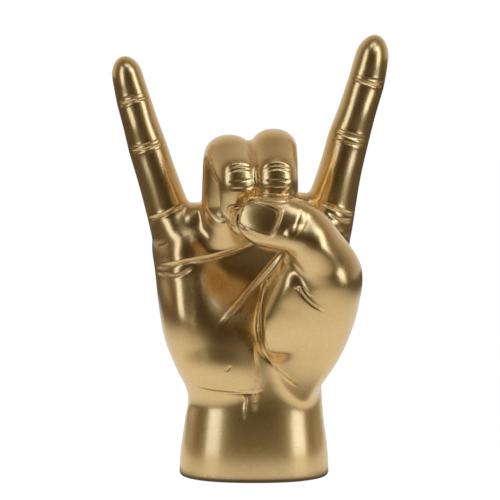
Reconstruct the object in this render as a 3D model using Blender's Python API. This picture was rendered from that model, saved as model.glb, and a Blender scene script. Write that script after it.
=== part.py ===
"""A hand statue: a right hand, palm to the front, with the index and little fingers raised and the
thumb laid over the two folded fingers. It is one hollow casting that stands on the cut of its wrist.

Metres, +Z up, palm towards -Y. The origin is the middle of the felt that the statue stands on.
"""

import math

import bmesh
import bpy
import numpy as np
from mathutils import Matrix, Vector
from mathutils.bvhtree import BVHTree

# The hand's main sizes: the cut of the wrist, the breadth of the palm at the knuckles, and how far
# the thumb lies in front of the middle of the hand.
FOOT_HALF_WIDTH = 0.0345
FOOT_FRONT = 0.0235
FOOT_BACK = 0.0225
PALM_HALF_WIDTH = 0.0450
THUMB_REACH = 0.0470

# Bones of the fingers, from the knuckle out.
INDEX_PROXIMAL = 0.0600
INDEX_MIDDLE = 0.0267
INDEX_DISTAL = 0.0222
MIDDLE_PROXIMAL = 0.0470
MIDDLE_MIDDLE = 0.0243
MIDDLE_DISTAL = 0.0250
RING_PROXIMAL = 0.0455
RING_MIDDLE = 0.0235
RING_DISTAL = 0.0235
LITTLE_PROXIMAL = 0.0557
LITTLE_MIDDLE = 0.0223
LITTLE_DISTAL = 0.0205

# Knuckles of the two raised fingers, inwards from the palm's edges.
INDEX_KNUCKLE = PALM_HALF_WIDTH - 0.0168
LITTLE_KNUCKLE = PALM_HALF_WIDTH - 0.0134

# The foot: a plate and felt under it, both set into the rim of the casting. The felt stands a little
# proud of the rim and carries the statue.
FELT_THICK = 0.0010
FELT_PROUD = 0.0004
PLATE_THICK = 0.0030
RIM_WIDTH = 0.0030
RIM_ROUND = 0.0020
SEAT_GAP = 0.0003
# Where the casting and its plate start, and where the ledge over the plate is.
FOOT = FELT_PROUD
PLATE_FOOT = FELT_THICK + SEAT_GAP
LEDGE = PLATE_FOOT + PLATE_THICK + SEAT_GAP
# How far cutters reach past the skin that they cut.
CUTTER_REACH = 0.02

# The hollow of the casting, and the ballast poured into its foot.
WALL = 0.0065
HOLLOW_TOP = 0.0880
HOLLOW_DOME = 0.0090
BALLAST_HEIGHT = 0.0300
BALLAST_CHAMFER = 0.0010

# Wires that stiffen the two raised fingers, from the hollow to just short of the last joint.
WIRE_RADIUS = 0.0010
WIRE_CLEARANCE = 0.0003
WIRE_START = {
    "index": (INDEX_KNUCKLE - 0.0032, 0.0006, 0.0840),
    "little": (0.0046 - LITTLE_KNUCKLE, 0.0018, 0.0840),
}
WIRE_END = 1.9
WIRE_SIDES = 12
BORE_REACH = 0.004

# How finely the clay is worked, and how far smoothing fills its inner corners.
ROUND_END_DEGREES = (0, 20, 38, 54, 67, 77, 84)
ROOT_ROUND = 0.008
RING_SIDES = 36
PALM_STEPS = 44
SPINE_STEP = 0.0025
VOXEL = 0.0009
ROOT_BLEND = 0.0084
CONTACT_BLEND = 0.0020
INWARD = 0.45
SPARE_FOOT = 0.004
PAD_FACETS = 4
HAND_TRIANGLES = 11100
# The rim keeps its small faces up to this height over the foot.
RIM_FINE = 0.0024
RIM_THINNING = 0.4
HOLLOW_SIDES = 36

# The wrist and the palm: height, left and right edge, palm side, back, squareness of the outline.
PALM_LEVELS = (
    (0.000, -FOOT_HALF_WIDTH, FOOT_HALF_WIDTH, -FOOT_FRONT, FOOT_BACK, 2.25),
    (0.012, 0.0007 - FOOT_HALF_WIDTH, FOOT_HALF_WIDTH - 0.0005,
     0.0005 - FOOT_FRONT, FOOT_BACK - 0.0003, 2.25),
    (0.026, 0.0027 - FOOT_HALF_WIDTH, FOOT_HALF_WIDTH - 0.0023,
     0.0020 - FOOT_FRONT, FOOT_BACK - 0.0015, 2.25),
    (0.038, -0.0303, 0.0312, -0.0200, 0.0198, 2.3),
    (0.050, -0.0357, 0.0310, -0.0200, 0.0190, 2.3),
    (0.064, -0.0411, 0.0330, -0.0190, 0.0180, 2.4),
    (0.080, -0.0438, 0.0370, -0.0170, 0.0168, 2.5),
    (0.096, -PALM_HALF_WIDTH - 0.0005, PALM_HALF_WIDTH - 0.0040, -0.0150, 0.0148, 2.6),
    (0.106, -PALM_HALF_WIDTH - 0.0018, PALM_HALF_WIDTH - 0.0012, -0.0140, 0.0128, 2.5),
    (0.113, -PALM_HALF_WIDTH, PALM_HALF_WIDTH - 0.0020, -0.0130, 0.0104, 2.3),
    (0.118, 0.0050 - PALM_HALF_WIDTH, PALM_HALF_WIDTH - 0.0060, -0.0110, 0.0078, 2.1),
)
PALM_TOP_ROUND = 0.005

# Flesh and bone under the skin, as smooth swellings: across, height, half width, half height, lift.
# On the palm side first, where a hollow has a negative lift, then on the back.
FRONT_SWELLS = (
    (-0.0160, 0.0660, 0.0340, 0.0340, 0.0060),
    (-0.0190, 0.0500, 0.0240, 0.0130, 0.0014),
    (-0.0290, 0.0860, 0.0190, 0.0300, 0.0022),
    (0.0140, 0.0760, 0.0115, 0.0300, 0.0028),
    (-0.0340, 0.1090, 0.0140, 0.0160, 0.0035),
    (-0.0130, 0.1150, 0.0150, 0.0120, 0.0040),
    (0.0100, 0.1160, 0.0150, 0.0120, 0.0035),
    (0.0310, 0.1120, 0.0140, 0.0150, 0.0035),
    (-0.0030, 0.0950, 0.0230, 0.0260, -0.0042),
)
BACK_SWELLS = (
    (0.0290, 0.1000, 0.0130, 0.0230, 0.0016),
    (0.0095, 0.1060, 0.0130, 0.0270, 0.0024),
    (-0.0130, 0.1040, 0.0130, 0.0260, 0.0022),
    (-0.0325, 0.0970, 0.0120, 0.0210, 0.0014),
    (0.0000, 0.0750, 0.0330, 0.0500, 0.0020),
    (-0.0180, 0.0380, 0.0170, 0.0220, 0.0016),
)
# Flesh of the webs between the digits and of the thumb's ball: centre and half axes of the pads
# that the skin runs over. The second list lies between the folded fingers and the palm.
WEB_PADS = (
    ((0.0330, -0.0150, 0.0980), (0.0100, 0.0180, 0.0170)),
    ((0.0245, -0.0290, 0.0960), (0.0095, 0.0125, 0.0150)),
    ((0.0215, -0.0350, 0.1020), (0.0080, 0.0110, 0.0120)),
    ((-0.0265, -0.0020, 0.1185), (0.0080, 0.0085, 0.0080)),
    ((-0.0020, -0.0060, 0.1210), (0.0060, 0.0085, 0.0080)),
    ((0.0215, -0.0010, 0.1215), (0.0080, 0.0085, 0.0080)),
)
FOLD_PADS = (
    ((0.0000, -0.0240, 0.1400), (0.0040, 0.0120, 0.0150)),
    ((-0.0016, -0.0140, 0.1340), (0.0035, 0.0090, 0.0170)),
    ((0.0095, -0.0240, 0.1330), (0.0070, 0.0070, 0.0110)),
    ((-0.0085, -0.0235, 0.1320), (0.0065, 0.0070, 0.0100)),
    ((0.0095, -0.0225, 0.1195), (0.0075, 0.0080, 0.0085)),
    ((-0.0060, -0.0220, 0.1200), (0.0060, 0.0080, 0.0080)),
)

# How far along each digit the roots are worked, and where the parts start that only touch the rest.
ROOT_ENDS = {"index": 3.0, "middle": 0.95, "ring": 0.95, "little": 3.0, "thumb": 2.4}
CONTACT_STARTS = {"middle": 0.35, "ring": 0.35, "thumb": 1.35}
# The flesh between the two folded fingers, and how far it lies below their skin.
WEB_HALF_WIDTH = 0.0050
WEB_START = 0.1
WEB_SHY = 0.0034

# Where smoothing of the roots fades out along each digit, in stations.
FADE = {
    "index": (0.25, 0.80),
    "middle": (0.00, 0.70),
    "ring": (0.00, 0.70),
    "little": (0.25, 0.80),
    "thumb": (1.10, 1.60),
}

# Folds on the palm side: a route as (across, height), its half width, its depth and the height of
# its lips.
PALM_FOLDS = (
    (((-0.0440, 0.0972), (-0.0360, 0.0990), (-0.0266, 0.1010), (-0.0135, 0.1033), (-0.0050, 0.1060),
      (0.0018, 0.1087)), 0.0016, 0.0011, 0.0003),
    (((0.0122, 0.1043), (0.0054, 0.0961), (-0.0018, 0.0880), (-0.0095, 0.0794), (-0.0171, 0.0712)),
     0.0016, 0.0011, 0.0002),
    (((0.0166, 0.1003), (0.0108, 0.0944), (0.0061, 0.0872), (0.0036, 0.0795), (0.0031, 0.0741),
      (0.0045, 0.0664), (0.0076, 0.0600), (0.0117, 0.0550)), 0.0018, 0.0015, 0.0003),
    (((0.0022, 0.0659), (0.0036, 0.0605), (0.0081, 0.0546), (0.0140, 0.0487), (0.0194, 0.0446)),
     0.0015, 0.0010, 0.0002),
    (((0.0186, 0.0957), (0.0204, 0.0899), (0.0253, 0.0845), (0.0315, 0.0809)), 0.0014, 0.0008, 0.0003),
    (((-0.0330, 0.0436), (-0.0221, 0.0420), (-0.0131, 0.0412), (-0.0036, 0.0408), (0.0036, 0.0419)),
     0.0016, 0.0005, 0.0002),
)

# Folds across the raised fingers' pads, as (digit, station, half width, depth).
FINGER_FOLDS = (
    ("index", 0.46, 0.0013, 0.0007),
    ("index", 1.00, 0.0013, 0.0008),
    ("index", 2.00, 0.0012, 0.0007),
    ("little", 0.44, 0.0013, 0.0007),
    ("little", 1.00, 0.0012, 0.0008),
    ("little", 2.00, 0.0012, 0.0007),
)
FOLD_HALF_TURN = 62

# Wrinkles across the backs of the folded fingers and the thumb, in the same order.
BACK_FOLDS = (
    ("middle", 1.86, 0.0010, 0.0006),
    ("middle", 2.02, 0.0010, 0.0007),
    ("middle", 2.24, 0.0010, 0.0005),
    ("ring", 1.88, 0.0010, 0.0006),
    ("ring", 2.06, 0.0010, 0.0006),
    ("thumb", 1.96, 0.0009, 0.0004),
    ("thumb", 2.08, 0.0009, 0.0004),
)
BACK_HALF_TURN = 44

# Nails: the station of the middle, half length, half width and how far the plate is sunk.
NAILS = {
    "index": (2.60, 0.0066, 0.0054, 0.0006),
    "middle": (2.66, 0.0060, 0.0056, 0.0006),
    "ring": (2.70, 0.0056, 0.0054, 0.0006),
    "little": (2.60, 0.0054, 0.0047, 0.0005),
    "thumb": (2.68, 0.0078, 0.0062, 0.0010),
}


class Digit:
    """A finger or the thumb: joints from the knuckle to the tip, the side axis of each bone, and the
    half width, the depth to the back and the depth to the pad at stations along it. Station 0 is the
    knuckle, 1 and 2 are the joints after it and 3 is the tip. Its cross section is an oval, squarer
    as squareness goes past 2."""

    def __init__(self, joints, sides, sections, nose, bend, squareness=2.0):
        self.joints = [Vector(j) for j in joints]
        self.sides = [Vector(s).normalized() for s in sides]
        self.sections = sections
        self.nose = nose
        self.bend = bend
        self.squareness = squareness


def bone_direction(curl, splay):
    """Straight up at zero, curled towards the palm side and splayed towards +X, in degrees."""
    c, s = math.radians(curl), math.radians(splay)
    return Vector((math.sin(s) * math.cos(c), -math.sin(c), math.cos(s) * math.cos(c)))


def finger(knuckle, bones, sections, nose, bend=0.008, lean_in=0.0, squareness=2.0):
    """A finger from its bones, each a length, a curl and a splay. lean_in turns the plane that a
    folded finger curls in towards the thumb."""
    joints = [Vector(knuckle)]
    sides = []
    for length, curl, splay in bones:
        joints.append(joints[-1] + bone_direction(curl, splay) * length)
        s = math.radians(splay)
        sides.append(Vector((math.cos(s), 0, -math.sin(s))))
    if lean_in:
        turn = Matrix.Rotation(math.radians(lean_in), 3, joints[1] - joints[0])
        joints = joints[:2] + [joints[1] + turn @ (j - joints[1]) for j in joints[2:]]
        sides = sides[:1] + [turn @ s for s in sides[1:]]
    return Digit(joints, sides, sections, nose, bend, squareness)


DIGITS = {
    "index": finger(
        (INDEX_KNUCKLE, 0.0005, 0.0972),
        ((INDEX_PROXIMAL, 2.0, 14.2), (INDEX_MIDDLE, 0.0, 17.5), (INDEX_DISTAL, -2.0, 12.5)),
        (
            (0.00, 0.0125, 0.0120, 0.0115),
            (0.30, 0.0124, 0.0117, 0.0115),
            (0.50, 0.0112, 0.0105, 0.0108),
            (0.75, 0.0098, 0.0093, 0.0100),
            (1.00, 0.0094, 0.0092, 0.0086),
            (1.50, 0.0086, 0.0080, 0.0088),
            (2.00, 0.0083, 0.0076, 0.0074),
            (2.50, 0.0077, 0.0064, 0.0080),
            (3.00, 0.0064, 0.0050, 0.0062),
        ),
        0.0095,
    ),
    "middle": finger(
        (0.0095, 0.0000, 0.1120),
        ((MIDDLE_PROXIMAL, 25.0, -1.5), (MIDDLE_MIDDLE, 126.0, 0.0), (MIDDLE_DISTAL, 204.0, 0.0)),
        (
            (0.00, 0.0116, 0.0116, 0.0110),
            (0.50, 0.0111, 0.0104, 0.0130),
            (1.00, 0.0107, 0.0098, 0.0114),
            (1.50, 0.0103, 0.0088, 0.0122),
            (2.00, 0.0095, 0.0080, 0.0100),
            (2.50, 0.0090, 0.0066, 0.0096),
            (3.00, 0.0076, 0.0054, 0.0072),
        ),
        0.0095,
        bend=0.0065,
        lean_in=3.5,
        squareness=2.5,
    ),
    "ring": finger(
        (-0.0130, 0.0005, 0.1105),
        ((RING_PROXIMAL, 25.0, 1.5), (RING_MIDDLE, 121.0, 0.0), (RING_DISTAL, 201.0, 0.0)),
        (
            (0.00, 0.0115, 0.0113, 0.0108),
            (0.50, 0.0111, 0.0100, 0.0127),
            (1.00, 0.0107, 0.0094, 0.0112),
            (1.50, 0.0102, 0.0084, 0.0118),
            (2.00, 0.0092, 0.0077, 0.0098),
            (2.50, 0.0086, 0.0063, 0.0092),
            (3.00, 0.0070, 0.0052, 0.0068),
        ),
        0.0090,
        bend=0.0065,
        lean_in=13.0,
        squareness=2.5,
    ),
    "little": finger(
        (-LITTLE_KNUCKLE, 0.0015, 0.0984),
        ((LITTLE_PROXIMAL, 2.0, -17.6), (LITTLE_MIDDLE, 0.0, -16.6), (LITTLE_DISTAL, -2.0, -14.0)),
        (
            (0.00, 0.0110, 0.0110, 0.0105),
            (0.25, 0.0110, 0.0107, 0.0105),
            (0.50, 0.0099, 0.0096, 0.0098),
            (0.75, 0.0091, 0.0086, 0.0090),
            (1.00, 0.0088, 0.0084, 0.0080),
            (1.50, 0.0081, 0.0074, 0.0082),
            (2.00, 0.0077, 0.0070, 0.0069),
            (2.50, 0.0071, 0.0060, 0.0074),
            (3.00, 0.0063, 0.0050, 0.0060),
        ),
        0.0085,
    ),
    "thumb": Digit(
        (
            (0.0170, -0.0030, 0.0340),
            (0.0353, -0.0330, 0.0975),
            (0.0212, -THUMB_REACH, 0.1190),
            (-0.0080, 0.0010 - THUMB_REACH, 0.1235),
        ),
        ((-0.215, -0.925, -0.308), (-0.50, -0.42, -0.76), (-0.14, -0.22, -0.97)),
        (
            (0.00, 0.0090, 0.0080, 0.0100),
            (0.20, 0.0120, 0.0105, 0.0135),
            (0.45, 0.0145, 0.0146, 0.0195),
            (0.70, 0.0160, 0.0158, 0.0215),
            (0.92, 0.0152, 0.0144, 0.0185),
            (1.10, 0.0138, 0.0132, 0.0155),
            (1.30, 0.0128, 0.0118, 0.0132),
            (1.55, 0.0122, 0.0106, 0.0115),
            (2.00, 0.0122, 0.0100, 0.0098),
            (2.50, 0.0118, 0.0095, 0.0092),
            (3.00, 0.0098, 0.0075, 0.0070),
        ),
        nose=0.0120,
        bend=0.020,
        squareness=2.3,
    ),
}


def web_between(first, second, shy):
    """Flesh that fills the crevice between two digits, as a thin one in their middle. It stays shy
    of their backs and pads by a set depth."""
    joints = [a.lerp(b, 0.5) for a, b in zip(first.joints, second.joints)]
    sides = [a.lerp(b, 0.5) for a, b in zip(first.sides, second.sides)]
    sections = []
    for station, _, dorsal, palmar in first.sections:
        other_dorsal, other_palmar = (smooth_value(second.sections, station, c) for c in (2, 3))
        sections.append(
            (station, WEB_HALF_WIDTH, min(dorsal, other_dorsal) - shy, min(palmar, other_palmar) - shy)
        )
    return Digit(joints, sides, sections, first.nose - shy, first.bend)


def clear_scene():
    for obj in list(bpy.data.objects):
        bpy.data.objects.remove(obj, do_unlink=True)


def smooth_value(table, at, column):
    """A column of a table read between its rows, on a curve without corners."""
    rows = [(row[0], row[column]) for row in table]
    if at <= rows[0][0]:
        return rows[0][1]
    if at >= rows[-1][0]:
        return rows[-1][1]
    i = next(k for k in range(len(rows) - 1) if at <= rows[k + 1][0])
    (x0, y0), (x1, y1) = rows[i], rows[i + 1]

    def slope(k):
        lo, hi = rows[max(k - 1, 0)], rows[min(k + 1, len(rows) - 1)]
        return (hi[1] - lo[1]) / (hi[0] - lo[0])

    h = x1 - x0
    t = (at - x0) / h
    return (
        y0 * (2 * t**3 - 3 * t**2 + 1)
        + slope(i) * h * (t**3 - 2 * t**2 + t)
        + y1 * (3 * t**2 - 2 * t**3)
        + slope(i + 1) * h * (t**3 - t**2)
    )


def spine(digit):
    """Places along a digit, each with its station and side axis, with the corners turned on arcs."""
    joints, last = digit.joints, len(digit.joints) - 1
    spans = [(joints[i + 1] - joints[i]).length for i in range(last)]
    ways = [(joints[i + 1] - joints[i]).normalized() for i in range(last)]
    turns = [0.0] * (last + 1)
    for i in range(1, last):
        angle = ways[i - 1].angle(ways[i])
        turns[i] = min(digit.bend * math.tan(angle / 2), 0.48 * spans[i - 1], 0.48 * spans[i])
    places = []
    for i in range(last):
        start, end = turns[i], spans[i] - (turns[i + 1] if i + 1 < last else 0)
        steps = max(2, round((end - start) / SPINE_STEP))
        for k in range(steps + 1):
            along = start + (end - start) * k / steps
            places.append((joints[i] + ways[i] * along, i + along / spans[i], digit.sides[i]))
        if i + 1 == last or turns[i + 1] < 1e-5:
            continue
        a, b, turn = ways[i], ways[i + 1], turns[i + 1]
        angle = a.angle(b)
        radius = turn / math.tan(angle / 2)
        inward = (b - a * math.cos(angle)).normalized()
        centre = joints[i + 1] - a * turn + inward * radius
        steps = max(2, round(radius * angle / SPINE_STEP * 1.5))
        for k in range(1, steps):
            f = k / steps
            point = centre - inward * radius * math.cos(angle * f) + a * radius * math.sin(angle * f)
            if f < 0.5:
                station = i + 1 - turn / spans[i] * (1 - 2 * f)
            else:
                station = i + 1 + turn / spans[i + 1] * (2 * f - 1)
            places.append((point, station, digit.sides[i].lerp(digit.sides[i + 1], f)))
    kept = [places[0]]
    for place in places[1:]:
        if (place[0] - kept[-1][0]).length > 0.3 * SPINE_STEP:
            kept.append(place)
    return kept


def oval(squareness, sides):
    """Points round an oval of half axes 1, squarer as squareness goes past 2."""
    points = []
    for k in range(sides):
        angle = 2 * math.pi * k / sides
        c, s = math.cos(angle), math.sin(angle)
        power = 2 / squareness
        points.append((math.copysign(abs(c) ** power, c), math.copysign(abs(s) ** power, s)))
    return points


def digit_rings(digit, first=0.0, last=3.0):
    """Cross sections of a digit between two stations, drawn in to a round nose at the tip and to a
    round end at the other."""
    places = [p for p in spine(digit) if first <= p[1] <= last]
    lengths = [0.0]
    for before, after in zip(places, places[1:]):
        lengths.append(lengths[-1] + (after[0] - before[0]).length)
    total = lengths[-1]
    sines = [math.sin(math.radians(a)) for a in ROUND_END_DEGREES]
    fine = [total - digit.nose * (1 - sine) for sine in sines] + [ROOT_ROUND * (1 - sine) for sine in sines]
    rings = []
    for along in sorted(fine + [s for s in lengths if ROOT_ROUND < s < total - digit.nose]):
        i = max(k for k in range(len(lengths) - 1) if lengths[k] <= along + 1e-9)
        f = (along - lengths[i]) / (lengths[i + 1] - lengths[i])
        (p0, s0, side0), (p1, s1, side1) = places[i], places[i + 1]
        before = places[max(i - 1, 0)][0]
        after = places[min(i + 2, len(places) - 1)][0]
        way = ((p1 - before).normalized().lerp((after - p0).normalized(), f)).normalized()
        side = side0.lerp(side1, f)
        side = (side - way * way.dot(side)).normalized()
        back = way.cross(side)
        station = s0 + (s1 - s0) * f
        width, dorsal, palmar = (smooth_value(digit.sections, station, c) for c in (1, 2, 3))
        draw_in = 1.0
        if along > total - digit.nose:
            draw_in = math.sqrt(max(0.0, 1 - ((along - total + digit.nose) / digit.nose) ** 2))
        elif along < ROOT_ROUND:
            draw_in = math.sqrt(max(0.0, 1 - ((ROOT_ROUND - along) / ROOT_ROUND) ** 2))
        centre = p0.lerp(p1, f)
        rings.append([
            centre + (side * width * x + back * (dorsal if y > 0 else palmar) * y) * draw_in
            for x, y in oval(digit.squareness, RING_SIDES)
        ])
    return rings


def outline(left, right, front, back, squareness, height, inset, sides):
    """A rounded outline at one height of the palm."""
    middle, half = (left + right) / 2, (right - left) / 2 - inset
    return [
        Vector((middle + half * x, ((back if y > 0 else -front) - inset) * y, height))
        for x, y in oval(squareness, sides)
    ]


def palm_ring(height, inset=0.0, at=None, sides=2 * RING_SIDES):
    """The palm's outline at a height, drawn in all round and set at that height or another."""
    values = [smooth_value(PALM_LEVELS, height, c) for c in (1, 2, 3, 4, 5)]
    return outline(*values, height if at is None else at, inset, sides)


def palm_rings():
    top = PALM_LEVELS[-1][0]
    rings = [palm_ring(0.0, at=-SPARE_FOOT)]
    rings += [palm_ring(top * k / PALM_STEPS) for k in range(PALM_STEPS + 1)]
    for degrees in (20, 40, 58, 74, 84):
        a = math.radians(degrees)
        inset = PALM_TOP_ROUND * (1 - math.cos(a))
        rings.append(palm_ring(top, inset, top + PALM_TOP_ROUND * math.sin(a)))
    return rings


def loft(bm, rings):
    """A closed skin over the rings, with both ends filled."""
    rows = [[bm.verts.new(p) for p in ring] for ring in rings]
    count = len(rings[0])
    for low, high in zip(rows, rows[1:]):
        for k in range(count):
            n = (k + 1) % count
            bm.faces.new((low[k], low[n], high[n], high[k]))
    bm.faces.new(rows[0][::-1])
    bm.faces.new(rows[-1])


def mesh_object(name, bm):
    bmesh.ops.recalc_face_normals(bm, faces=bm.faces)
    mesh = bpy.data.meshes.new(name)
    bm.to_mesh(mesh)
    bm.free()
    return mesh_of(name, mesh)


def mesh_of(name, mesh):
    obj = bpy.data.objects.new(name, mesh)
    bpy.context.scene.collection.objects.link(obj)
    return obj


def settled(obj):
    """The object's mesh with its modifiers applied."""
    bpy.context.view_layer.update()
    graph = bpy.context.evaluated_depsgraph_get()
    mesh = bpy.data.meshes.new_from_object(obj.evaluated_get(graph))
    bpy.data.objects.remove(obj, do_unlink=True)
    return mesh


def fused(name, bm, voxel, blend, fade):
    """The overlapping skins in bm as one skin, its inner corners filled over the blend's length.
    With a fade, smoothing dies out along the digits and takes little off the forms' girth."""
    obj = mesh_object(name, bm)
    remesh = obj.modifiers.new("fuse", "REMESH")
    remesh.mode = "VOXEL"
    remesh.voxel_size = voxel
    obj = mesh_of(name, settled(obj))
    before, facing = skin_arrays(obj.data)
    if fade:
        soft = obj.vertex_groups.new(name="soft")
        for index, weight in enumerate(softness(before).tolist()):
            soft.add((index,), weight, "REPLACE")
    smooth = obj.modifiers.new("smooth", "SMOOTH")
    smooth.factor = 0.5
    smooth.iterations = round((blend / voxel) ** 2)
    smooth.vertex_group = "soft" if fade else ""
    mesh = settled(obj)
    if fade:
        after, _ = skin_arrays(mesh)
        outward = ((after - before) * facing).sum(axis=1)
        kept = np.where(outward < 0, (1 - INWARD) * outward, 0)
        put_back(mesh, after - facing * kept[:, None])
    return mesh


def softness(places):
    """1 where the roots of the digits are worked into the palm, fading to nothing along each."""
    weights = np.ones(len(places))
    for name, digit in DIGITS.items():
        row = spine(digit)
        points = np.array([tuple(p[0]) for p in row])
        stations = np.array([p[1] for p in row])
        reach = np.array([smooth_value(digit.sections, p[1], 1) for p in row]) * 1.35
        apart = np.linalg.norm(places[:, None, :] - points[None, :, :], axis=2)
        nearest = apart.argmin(axis=1)
        close = apart[np.arange(len(places)), nearest] < reach[nearest]
        low, high = FADE[name]
        along = np.clip((stations[nearest] - low) / (high - low), 0, 1)
        fading = 1 - along * along * (3 - 2 * along)
        weights = np.where(close, np.minimum(weights, fading), weights)
    return weights


def skin_arrays(mesh):
    """Where the mesh's points are, and which way its skin faces at each."""
    places = np.empty(len(mesh.vertices) * 3, np.float32)
    mesh.vertices.foreach_get("co", places)
    facing = np.empty(len(mesh.vertices) * 3, np.float32)
    mesh.vertices.foreach_get("normal", facing)
    return places.reshape(-1, 3).astype(float), facing.reshape(-1, 3).astype(float)


def put_back(mesh, places):
    mesh.vertices.foreach_set("co", places.astype(np.float32).ravel())
    mesh.update()


def swell(mesh, swells, towards):
    """Lifts one side of the palm, -1 the palm side and 1 the back, over smooth round areas."""
    places, facing = skin_arrays(mesh)
    turned = np.clip((facing[:, 1] * towards + 0.25) / 0.75, 0, 1)
    lift = np.zeros(len(places))
    for across, height, half_width, half_height, rise in swells:
        square = ((places[:, 0] - across) / half_width) ** 2 + ((places[:, 2] - height) / half_height) ** 2
        lift += rise * np.clip(1 - square, 0, 1) ** 2
    places[:, 1] += towards * lift * turned
    put_back(mesh, places)


def smooth_route(points, step=0.0006):
    """A curve through the points, read off at even steps."""
    points = [np.array(p, float) for p in points]
    ends = [2 * points[0] - points[1], *points, 2 * points[-1] - points[-2]]
    route = []
    for a, b, c, d in zip(ends, ends[1:], ends[2:], ends[3:]):
        count = max(1, round(np.linalg.norm(c - b) / step))
        for k in range(count):
            t = k / count
            route.append(
                0.5 * (2 * b + (c - a) * t + (2 * a - 5 * b + 4 * c - d) * t**2
                       + (3 * b - a - 3 * c + d) * t**3)
            )
    return route + [points[-1]]


def skin_tree(mesh):
    bm = bmesh.new()
    bm.from_mesh(mesh)
    tree = BVHTree.FromBMesh(bm)
    bm.free()
    return tree


def palm_route(tree, points):
    """A route on the palm side, found from inside the hand."""
    hits = [tree.ray_cast(Vector((x, 0, z)), Vector((0, -1, 0))) for x, z in smooth_route(points)]
    return [(hit, facing) for hit, facing, _, _ in hits if hit is not None]


def local_frame(digit, station):
    """A digit's middle, direction, side and back at a station."""
    row = spine(digit)
    i = min(range(len(row)), key=lambda k: abs(row[k][1] - station))
    before, after = row[max(i - 1, 0)][0], row[min(i + 1, len(row) - 1)][0]
    way = (after - before).normalized()
    side = (row[i][2] - way * way.dot(row[i][2])).normalized()
    return row[i][0], way, side, way.cross(side)


def digit_route(tree, digit, station, middle_turn, half_turn):
    """A route round a digit, in degrees from the middle of its pad, found from inside the digit."""
    middle, _, side, back = local_frame(digit, station)
    hits = []
    for turn in np.arange(middle_turn - half_turn, middle_turn + half_turn + 1, 4):
        a = math.radians(turn)
        hits.append(tree.ray_cast(middle, side * math.sin(a) - back * math.cos(a)))
    return [(hit, facing) for hit, facing, _, _ in hits if hit is not None]


def fold(places, facing, route, half_width, depth, lip):
    """Sinks a groove with raised lips into the skin along a route, dying out at both ends."""
    points = np.array([tuple(p) for p, _ in route])
    outward = np.array([tuple(n) for _, n in route])
    reach = 4 * half_width
    near = np.all((places > points.min(axis=0) - reach) & (places < points.max(axis=0) + reach), axis=1)
    index = np.flatnonzero(near)
    apart = np.linalg.norm(places[index, None, :] - points[None, :, :], axis=2)
    nearest = apart.argmin(axis=1)
    across = apart[np.arange(len(index)), nearest] / half_width
    along = nearest / (len(points) - 1)
    ends = np.clip(np.minimum(along, 1 - along) / 0.2, 0, 1) ** 0.7
    same_side = np.clip((facing[index] * outward[nearest]).sum(axis=1), 0, 1)
    rise = lip * np.exp(-(((across - 1.9) / 0.8) ** 2)) - depth * np.exp(-(across**2))
    places[index] += facing[index] * (rise * ends * same_side)[:, None]


def nail(places, facing, digit, station, half_length, half_width, sunk):
    """Sinks a nail's plate into the back of a digit, inside a rounded square edge."""
    middle, way, side, back = (np.array(v) for v in local_frame(digit, station))
    offset = places - middle
    along, across, up = offset @ way, offset @ side, offset @ back
    radius = (np.abs(along / half_length) ** 3.5 + np.abs(across / half_width) ** 3.5) ** (1 / 3.5)
    inside = np.clip((1.06 - radius) / 0.14, 0, 1)
    plate = inside * inside * (3 - 2 * inside)
    rim = np.exp(-(((radius - 1.16) / 0.09) ** 2)) * 0.4
    turned = np.clip(facing @ back, 0, 1) * (up > 0) * (up < 0.016)
    places += facing * ((rim - plate) * sunk * turned)[:, None]


def carve(mesh):
    """The folds and the nails."""
    tree = skin_tree(mesh)
    places, facing = skin_arrays(mesh)
    for points, half_width, depth, lip in PALM_FOLDS:
        fold(places, facing, palm_route(tree, points), half_width, depth, lip)
    sides = ((FINGER_FOLDS, 0, FOLD_HALF_TURN), (BACK_FOLDS, 180, BACK_HALF_TURN))
    for folds, middle_turn, half_turn in sides:
        for name, station, half_width, depth in folds:
            route = digit_route(tree, DIGITS[name], station, middle_turn, half_turn)
            fold(places, facing, route, half_width, depth, 0.3 * depth)
    for name, sizes in NAILS.items():
        nail(places, facing, DIGITS[name], *sizes)
    put_back(mesh, places)


def round_rim(mesh):
    """Draws the skin in towards the rim that the statue stands on."""
    places, facing = skin_arrays(mesh)
    rise = np.clip(places[:, 2] - FOOT, 0, RIM_ROUND)
    inset = RIM_ROUND - np.sqrt(RIM_ROUND**2 - (RIM_ROUND - rise) ** 2)
    level = facing[:, :2] / np.maximum(np.linalg.norm(facing[:, :2], axis=1), 1e-6)[:, None]
    places[:, :2] -= level * inset[:, None]
    put_back(mesh, places)


def ellipsoid(bm, centre, radii):
    matrix = Matrix.Translation(centre) @ Matrix.Diagonal((*radii, 1.0))
    bmesh.ops.create_icosphere(bm, subdivisions=PAD_FACETS, radius=1.0, matrix=matrix)


def hand_mesh(voxel):
    """The whole hand before its folds: roots and palm first, then what lies against them."""
    clay = bmesh.new()
    loft(clay, palm_rings())
    for name, end in ROOT_ENDS.items():
        loft(clay, digit_rings(DIGITS[name], 0.0, end))
    for centre, radii in WEB_PADS:
        ellipsoid(clay, centre, radii)
    rough = fused("clay", clay, voxel, ROOT_BLEND, True)
    swell(rough, FRONT_SWELLS, -1)
    swell(rough, BACK_SWELLS, 1)
    clay = bmesh.new()
    clay.from_mesh(rough)
    for name, start in CONTACT_STARTS.items():
        loft(clay, digit_rings(DIGITS[name], start))
    web = web_between(DIGITS["middle"], DIGITS["ring"], WEB_SHY)
    loft(clay, digit_rings(web, WEB_START))
    for centre, radii in FOLD_PADS:
        ellipsoid(clay, centre, radii)
    return fused("clay", clay, voxel, CONTACT_BLEND, False)


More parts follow.
